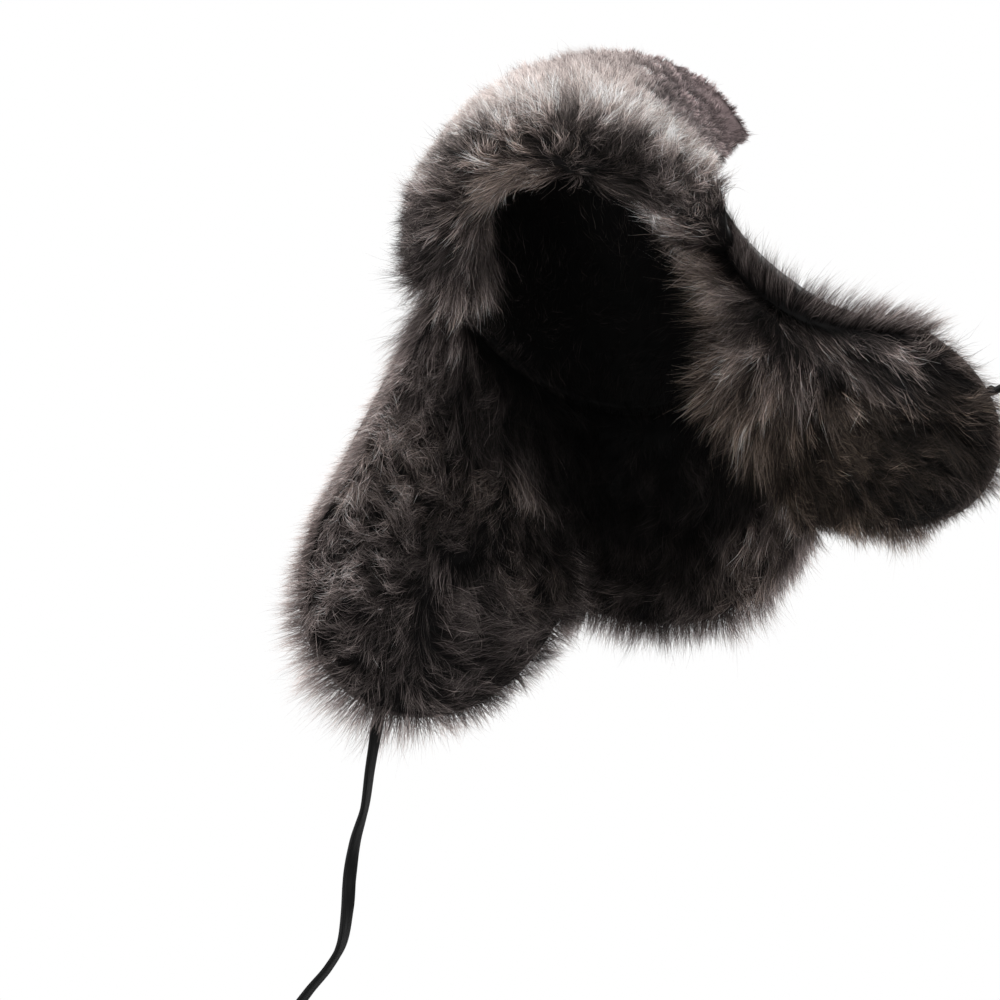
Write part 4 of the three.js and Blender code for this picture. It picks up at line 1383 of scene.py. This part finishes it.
rightEnd = combRows([
    (930, 340, 20, 12, 0.2, 1.2, 0.1),
    (965, 365, 350, 12, 0.2, 1.2, 0.2),
    (990, 420, 345, 14, 0.2, 1.0, 0.3),
    (990, 465, 322, 16, 0.2, 0.6, 0.2),
    (960, 490, 310, 4, 0.2, 0.3, 0.2),
    (930, 500, 305, 5, 0.2, 0.5, 0.2),
    (900, 510, 300, 16, 0.2, 0.7, 0.4),
    (860, 505, 300, 13, 0.2, 0.7, 0.4),
    (815, 500, 300, 6, 0.2, 0.4, 0.3),
    (780, 560, 270, 8, 0.2, 0.4, 0.1),
    (740, 580, 270, 14, 0.2, 0.6, 0.1),
])
rightRoot = combRows([
    (735, 240, 150, 26, 0.5, 0.5, 0.3),
    (750, 290, 180, 34, 0.5, 0.8, 0.6),
    (750, 350, 200, 30, 0.5, 0.3, 0.4),
])
longHair = {
    "tuftTurn": 11, "clumpTurn": 9, "curl": 30, "gather": 0.5, "tuftGather": 0.3,
    "tuftTone": 0.65, "clumpTone": 0.6, "stray": 2.4,
}
rightBeds = [
    {**longHair, "frameAt": skirtBed("right"), "hairs": 25000},
    {**fringe, "frameAt": skirtEdge("right", "last"), "hairs": 6400, "comb": rightRidge, "start": 0.15,
     "weight": lambda along, deep: 1 + 2 * smoothStep(0.7, 1, along)},
    {**fringe, "frameAt": skirtEdge("right", "end"), "hairs": 4000, "comb": rightEnd, "start": 0.2},
    {**fringe, "frameAt": skirtEdge("right", "first"), "hairs": 700, "comb": rightEnd,
     "weight": lambda along, deep: smoothStep(0.6, 0.75, along)},
    {**fringe, "frameAt": skirtEdge("right", "root"), "hairs": 1600, "comb": rightRoot,
     "curl": 60, "start": 0.1},
]

# The tone paints shade and light: near-black painted shade in the hollow at the flap's top, lighter
# towards its lower edge, with painted light on the fringe
neckComb = combRows([
    # x, y, way, length, lift, tone, tint
    (560, 400, 265, 24, 0.35, 0.02, 0),
    (650, 400, 265, 24, 0.35, 0.02, 0),
    (560, 480, 262, 26, 0.35, 0.03, 0),
    (630, 480, 255, 26, 0.35, 0.03, 0),
    (700, 470, 262, 28, 0.35, 0.05, 0),
    (580, 560, 258, 24, 0.4, 0.06, 0),
    (620, 570, 245, 24, 0.4, 0.08, 0.1),
    (680, 570, 255, 26, 0.4, 0.08, 0.1),
    (600, 610, 250, 18, 0.4, 0.3, 0.1),
    (650, 615, 258, 18, 0.4, 0.22, 0),
    (700, 610, 265, 20, 0.4, 0.3, 0),
    (740, 590, 270, 26, 0.35, 0.8, 0.3),
    (775, 560, 275, 24, 0.35, 0.8, 0.2),
])
neckFringe = combRows([
    (600, 625, 250, 17, 0.2, 0.8, 0),
    (650, 625, 262, 17, 0.2, 0.7, 0),
    (700, 625, 272, 17, 0.2, 0.7, 0),
    (750, 605, 285, 22, 0.2, 1.0, 0),
    (790, 570, 285, 15, 0.2, 1.0, 0),
])
neckRoot = combRows([
    (600, 400, 85, 20, 0.3, 0.03, 0),
    (720, 390, 110, 20, 0.3, 0.03, 0),
])
neckBeds = [
    {"frameAt": skirtBed("neck"), "hairs": 13000},
    {**fringe, "frameAt": skirtEdge("neck", "end"), "hairs": 5500, "comb": neckFringe, "start": 0.2},
    {**fringe, "frameAt": skirtEdge("neck", "root"), "hairs": 1200, "comb": neckRoot, "start": 0},
]


peakFur = {"coatShare": 0.55, "rootShare": 0.57, "rimShare": 0.5, "tipPile": 0.5, "rimLean": 0.3}


def peakPile(across, share):
    # The table's depth, thinner as the cube of the share up the peak
    deep = fromTable(peakTable, "across", across, "pile")
    return peakSizes["furBack"] + deep * (1 - peakFur["tipPile"] * share ** 3)


def peakCoat():
    # A wall on the peak's outer face
    u, v = shareGrid(60, 24)
    back = np.full_like(u, peakSizes["furBack"])
    outer = peakPath(u, v, back + (peakPile(u, v) - back) * peakFur["coatShare"])[0]
    inner = peakPath(u, v, back)[0]
    return wallMesh(outer, inner)


def peakBed(u, v):
    # Just outside the undercoat's face, with the ways up, across and off the peak
    sheet = lambda a, b: peakPath(a, b, peakPile(a, b) * peakFur["rootShare"])[0]
    point = sheet(u, v)
    up = unit(sheet(u, v + 0.02) - sheet(u, v - 0.02))
    away = peakPath(u, v, np.zeros_like(u))[1]
    return point, up, unit(np.cross(up, away)), away


def peakRim(edge):
    # Along the peak's upper edge, or the wing's outer end, and through the depth of its undercoat
    backAcross, backUp = {"top": (0, 0.03), "end": (0.02, 0)}[edge]

    def place(across, share, deep):
        depth = peakSizes["furBack"] + peakPile(across, share) * peakFur["rimShare"] * deep
        return peakPath(across, share, depth)[0]

    def frameAt(along, deep):
        full = np.ones_like(along)
        across, share = (along, full) if edge == "top" else (full, along)
        point = place(across, share, deep)
        past = unit(point - place(across - backAcross, share - backUp, deep))
        out = peakPath(across, share, np.zeros_like(along))[1]
        return point, unit(np.cross(past, out)), out, unit(past + out * peakFur["rimLean"])
    return frameAt


browComb = joinTables(combRows([
    # x, y, way, length, lift, tone, tint: the pale fur above the parting, its own lighter colour and
    # painted light where the peak faces up; rows with the full tint take the painted shade of the wing
    (425, 170, 150, 8, 0.2, 0.85, 0),
    (445, 140, 146, 9, 0.2, 0.8, 0.1),
    (475, 112, 136, 12, 0.25, 0.85, 0.1),
    (500, 108, 126, 15, 0.3, 1.15, 0),
    (530, 104, 112, 17, 0.3, 1.15, 0),
    (565, 100, 100, 17, 0.3, 1.15, 0),
    (600, 104, 84, 18, 0.3, 1.15, 0),
    (500, 78, 130, 12, 0.2, 0.75, 0.4),
    (560, 65, 110, 12, 0.2, 0.78, 0.4),
    (610, 58, 85, 10, 0.2, 0.85, 0.3),
    (630, 120, 68, 18, 0.3, 1.15, 0),
    (662, 143, 56, 16, 0.3, 1.1, 0),
    (683, 158, 50, 12, 0.3, 0.9, 0.1),
    (635, 85, 68, 14, 0.2, 1.0, 0.1),
    (658, 78, 56, 9, 0.15, 0.7, 1),
    (678, 105, 50, 9, 0.15, 0.6, 1),
    (697, 135, 46, 9, 0.15, 0.5, 1),
    (650, 62, 60, 6, 0.15, 1.2, 0.8),
    (690, 82, 50, 8, 0.15, 1.4, 1),
    (715, 105, 38, 8, 0.15, 1.4, 1),
    (735, 130, 18, 7, 0.15, 1.3, 1),
    (722, 148, 340, 7, 0.15, 0.9, 1),
], pale=1), combRows([
    # the dark fur below it: its own dark colour, with painted shade where the roll faces down and
    # painted light in its brightest rows
    (440, 190, 158, 14, 0.35, 0.45, 0),
    (470, 155, 150, 11, 0.35, 0.3, 0),
    (505, 142, 132, 9, 0.35, 0.2, 0),
    (540, 138, 108, 9, 0.4, 0.12, 0),
    (580, 142, 78, 10, 0.4, 0.12, 0),
    (612, 155, 54, 11, 0.4, 0.35, 0),
    (645, 172, 44, 12, 0.4, 0.35, 0),
    (672, 187, 60, 12, 0.4, 0.4, 0),
    (520, 162, 152, 24, 0.4, 2.6, 0.4),
    (548, 165, 162, 28, 0.4, 2.6, 0.5),
    (508, 182, 176, 26, 0.4, 2.2, 0.5),
    (575, 172, 70, 18, 0.4, 0.12, 0),
    (605, 182, 270, 24, 0.8, 0.07, 0.2),
    (575, 180, 262, 26, 0.8, 0.07, 0.3),
    (540, 176, 250, 22, 0.7, 0.15, 0.3),
    (520, 180, 240, 20, 0.6, 0.5, 0.4),
    (470, 200, 176, 22, 0.4, 0.8, 0.1),
    (430, 215, 186, 14, 0.35, 0.5, 0),
    (425, 255, 196, 14, 0.35, 0.55, 0),
    (455, 250, 205, 24, 0.4, 0.4, 0),
    (478, 235, 225, 22, 0.4, 0.3, 0),
    (490, 205, 315, 24, 0.7, 0.1, 0),
    (488, 232, 325, 24, 0.7, 0.12, 0),
    (486, 255, 330, 24, 0.7, 0.2, 0),
    (425, 290, 212, 20, 0.35, 0.6, 0),
    (448, 295, 230, 28, 0.4, 1.0, 0),
    (468, 285, 250, 30, 0.4, 1.5, 0.1),
    (482, 270, 325, 24, 0.5, 0.6, 0.1),
    (484, 290, 318, 26, 0.5, 1.2, 0.1),
    (430, 330, 235, 30, 0.35, 0.7, 0),
    (470, 335, 262, 32, 0.35, 0.7, 0),
    (630, 178, 30, 16, 0.4, 0.15, 0),
    (650, 200, 350, 18, 0.5, 0.25, 0),
    (635, 200, 255, 26, 0.8, 0.1, 0),
    (690, 178, 118, 14, 0.4, 3.6, 0.1),
    (672, 215, 200, 28, 0.8, 0.4, 0),
    (700, 205, 60, 8, 0.3, 1.6, 0),
    (715, 222, 85, 6, 0.2, 1.2, 0),
    (728, 244, 100, 6, 0.2, 0.8, 0),
    (705, 232, 190, 34, 0.9, 0.8, 0.2),
    (690, 250, 196, 36, 0.9, 0.7, 0.4),
    (720, 258, 205, 34, 0.8, 0.9, 0.4),
]))
wingHair = {
    "clumps": 0.07, "gather": 0.6, "tuftTurn": 4, "clumpTurn": 4, "curl": 6, "tuftTone": 0.3,
    "clumpTone": 0.3, "hairTone": 0.25, "stray": 0.4, "crimp": 0.15, "flyaway": 0,
}
paleHair = {
    "clumps": 0.06, "gather": 0.35, "tuftTurn": 7, "clumpTurn": 6, "curl": 14, "tuftTone": 0.06,
    "clumpTone": 0.08, "hairTone": 0.14, "stray": 1.2, "crimp": 0.4,
}
# The wing's edge: its full tint paints the wing's shade in mauve
wingEdge = combRows([
    (640, 50, 68, 4, 0.1, 1.2, 0.6),
    (665, 58, 56, 3.5, 0.1, 1.1, 1),
    (700, 80, 48, 3.5, 0.1, 1.1, 1),
    (730, 108, 34, 3.5, 0.1, 1.1, 1),
    (748, 138, 355, 3, 0.1, 1.0, 1),
    (725, 150, 310, 4, 0.1, 0.8, 1),
    (708, 166, 320, 8, 0.1, 0.5, 0.5),
], pale=1)
browEdge = combRows([
    (420, 180, 150, 5, 0.2, 0.8, 0),
    (460, 120, 140, 6, 0.2, 0.7, 0.2),
    (520, 85, 120, 8, 0.2, 0.75, 0.4),
    (570, 62, 105, 6, 0.2, 0.8, 0.4),
    (620, 50, 85, 4, 0.2, 0.85, 0.4),
], pale=1)
peakBeds = [
    {**paleHair, "frameAt": peakBed, "hairs": 14500,
     "weight": lambda u, v: 1 - 0.97 * smoothStep(0.74, 0.8, u)},
    {**wingHair, "frameAt": peakBed, "hairs": 9000,
     "weight": lambda u, v: smoothStep(0.72, 0.78, u)},
    {**paleHair, "frameAt": peakRim("top"), "hairs": 2000, "free": 0.6, "start": 0.4, "comb": browEdge,
     "weight": lambda along, deep: 1 - smoothStep(0.68, 0.72, along)},
    {**wingHair, "frameAt": peakRim("top"), "hairs": 2600, "free": 0.6, "start": 0.1, "gather": 0.7,
     "comb": wingEdge, "weight": lambda along, deep: smoothStep(0.66, 0.72, along)},
    {**wingHair, "frameAt": peakRim("end"), "hairs": 1400, "free": 0.6, "start": 0.1, "comb": wingEdge},
]


def rollAngle(u):
    # From the first angle of the roll's table to its last
    return rollTable["angle"][0] + (rollTable["angle"][-1] - rollTable["angle"][0]) * u


def rollPile(u, v):
    # From the inside depth to the outside one, less at both ends as a fourth power
    inside = fromTable(rollTable, "angle", rollAngle(u), "inside")
    outside = fromTable(rollTable, "angle", rollAngle(u), "outside")
    ends = 1 - 0.5 * np.abs(2 * v - 1) ** 4
    return (inside + (outside - inside) * smoothStep(0.3, 0.6, v)) * ends


def rollUnder(u, v):
    # How deep the undercoat is: nearly the whole pile below and inside the rim, less of it outside
    return rollPile(u, v) * (0.95 - 0.6 * smoothStep(0.5, 0.75, v))


def rollReach(u, v):
    # The fur stops under the rim beside the right flap and climbs the crown's outside further forward
    return v * (0.5 + 0.5 * smoothStep(100, 128, rollAngle(u)))


def rollSheet(u, v, share):
    # The roll's path, off the rim by a share of the undercoat's depth
    reach = rollReach(u, v)
    return rollPath(rollAngle(u), reach, rollUnder(u, reach) * share)


def rollCoat():
    # A wall from the path itself out to the undercoat's face
    u, v = shareGrid(60, 30)
    return wallMesh(rollSheet(u, v, 1)[0], rollSheet(u, v, 0)[0])


def rollBed(u, v):
    # Just under the undercoat's face, with the ways along the path, round the rim and off it
    sheet = lambda a, b: rollSheet(a, b, hairSizes["rootDepth"])[0]
    around = unit(sheet(u + 0.01, v) - sheet(u - 0.01, v))
    away = rollSheet(u, v, 0)[1]
    return sheet(u, v), unit(np.cross(around, away)), around, away


rollBeds = [
    {"frameAt": rollBed, "hairs": 34500, "tuftTurn": 15, "tuftTone": 0.6, "clumpTone": 0.65},
]


liningFur = {"coatShare": 0.6, "rootShare": 0.55, "top": 0.985, "columns": 96, "rows": 30}
liningInset = hatSizes["leather"] + hatSizes["liningGap"]


def liningCoat():
    # A dome within the crown, closed at the top and open at the rim
    columns = liningFur["columns"]
    u, v = np.meshgrid(np.arange(columns) / columns, np.linspace(0, liningFur["top"], liningFur["rows"]))
    outer = liningPoint(u * 360, v, liningInset)
    inner = liningPoint(u * 360, v, liningInset + hatSizes["liningPile"] * liningFur["coatShare"])
    return wallMesh(outer, inner, ring=True, apex=True)


def liningBed(u, v):
    # Just under the undercoat's face, with the ways down, round and towards the head
    inset = liningInset + hatSizes["liningPile"] * liningFur["rootShare"]
    sheet = lambda a, b: liningPoint(a * 360, np.clip(b, 0, 0.99), inset)
    point, around, up, across = frameOf(sheet, u, np.clip(v, 0.01, 0.97), 0.008)
    away = across * -np.sign((across * (point - (0, 0, 30))).sum(-1, keepdims=True))
    return point, -up, around, away


# The lining's own near-black, with painted shade: lighter near the front of the opening, darker further
# into the hollow
liningComb = combRows([
    # x, y, way, length, lift, tone, tint
    (520, 250, 235, 13, 0.5, 0.16, 0.2),
    (600, 230, 250, 13, 0.5, 0.14, 0.2),
    (680, 300, 250, 13, 0.5, 0.08, 0),
    (560, 320, 245, 13, 0.5, 0.12, 0.1),
    (620, 340, 255, 13, 0.5, 0.07, 0),
    (500, 360, 240, 15, 0.5, 0.1, 0),
    (600, 400, 262, 16, 0.6, 0.05, 0),
    (700, 380, 262, 16, 0.6, 0.05, 0),
])
liningBeds = [
    {"frameAt": liningBed, "hairs": 6400, "weight": lambda u, v: 1 + 4 * (1 - smoothStep(0, 0.12, v))},
]
# The undercoat takes the roots' own dark colour, and its smaller share of the tone is painted shade at
# the foot of the pile
undercoats = {  # how far along a hair's colours the undercoat sits, and its share of their tone
    "dark": {"along": 0.05, "tone": 0.6},
    "pale": {"along": 0.45, "tone": 0.8},
}


def makeHat():
    # Stage first, then the laces, the leather and the fur
    fur = makeFurMaterial("long_fur", furColours, "gold")
    paleFur = makeFurMaterial("peak_fur", furColours, "mauveShade")
    leather = makeLeatherMaterial("black_leather", leatherLook)
    tape = makeTapeMaterial("woven_tape", tapeLook)
    thread = plainMaterial("thread", threadLook["colour"], threadLook["roughness"])
    makeStage(stageLight)
    makeCamera(cameraView)
    print("camera and light are in place")
    makeLace("left", leftRoute, leftTwist, tape)
    makeLace("right", rightRoute, rightTwist, tape)
    print("laces are tied")
    makeCrown(leather)
    makeFlapLeather("left", "left_ear_flap", leather, 1)
    makeFlapLeather("neck", "neck_flap", leather, 2)
    makeFlapLeather("right", "right_ear_flap", leather, 3)
    makePeakLeather(leather)
    makeStitches(thread)
    print("leather is cut and sewn")
    dark, pale = undercoats["dark"], undercoats["pale"]
    leftCoat, neckCoat, rightCoat = (skirtCoat(side) for side in ("left", "neck", "right"))
    growFur("left_fur", leftBeds, leftComb, leftCoat, dark, 1, fur, ["left_flap_fur"])
    growFur("neck_fur_coat", neckBeds, neckComb, neckCoat, dark, 2, fur, ["neck_fur"])
    growFur("right_fur", rightBeds, rightComb, rightCoat, dark, 3, fur, ["right_flap_fur"])
    growFur("peak_fur_coat", peakBeds, browComb, peakCoat(), pale, 4, paleFur, ["peak_fur"])
    growFur("brim_fur", rollBeds, browComb, rollCoat(), dark, 5, fur)
    growFur("lining_fur", liningBeds, liningComb, liningCoat(), dark, 6, fur, ["crown_lining"])
    print("fur is grown")


makeHat()
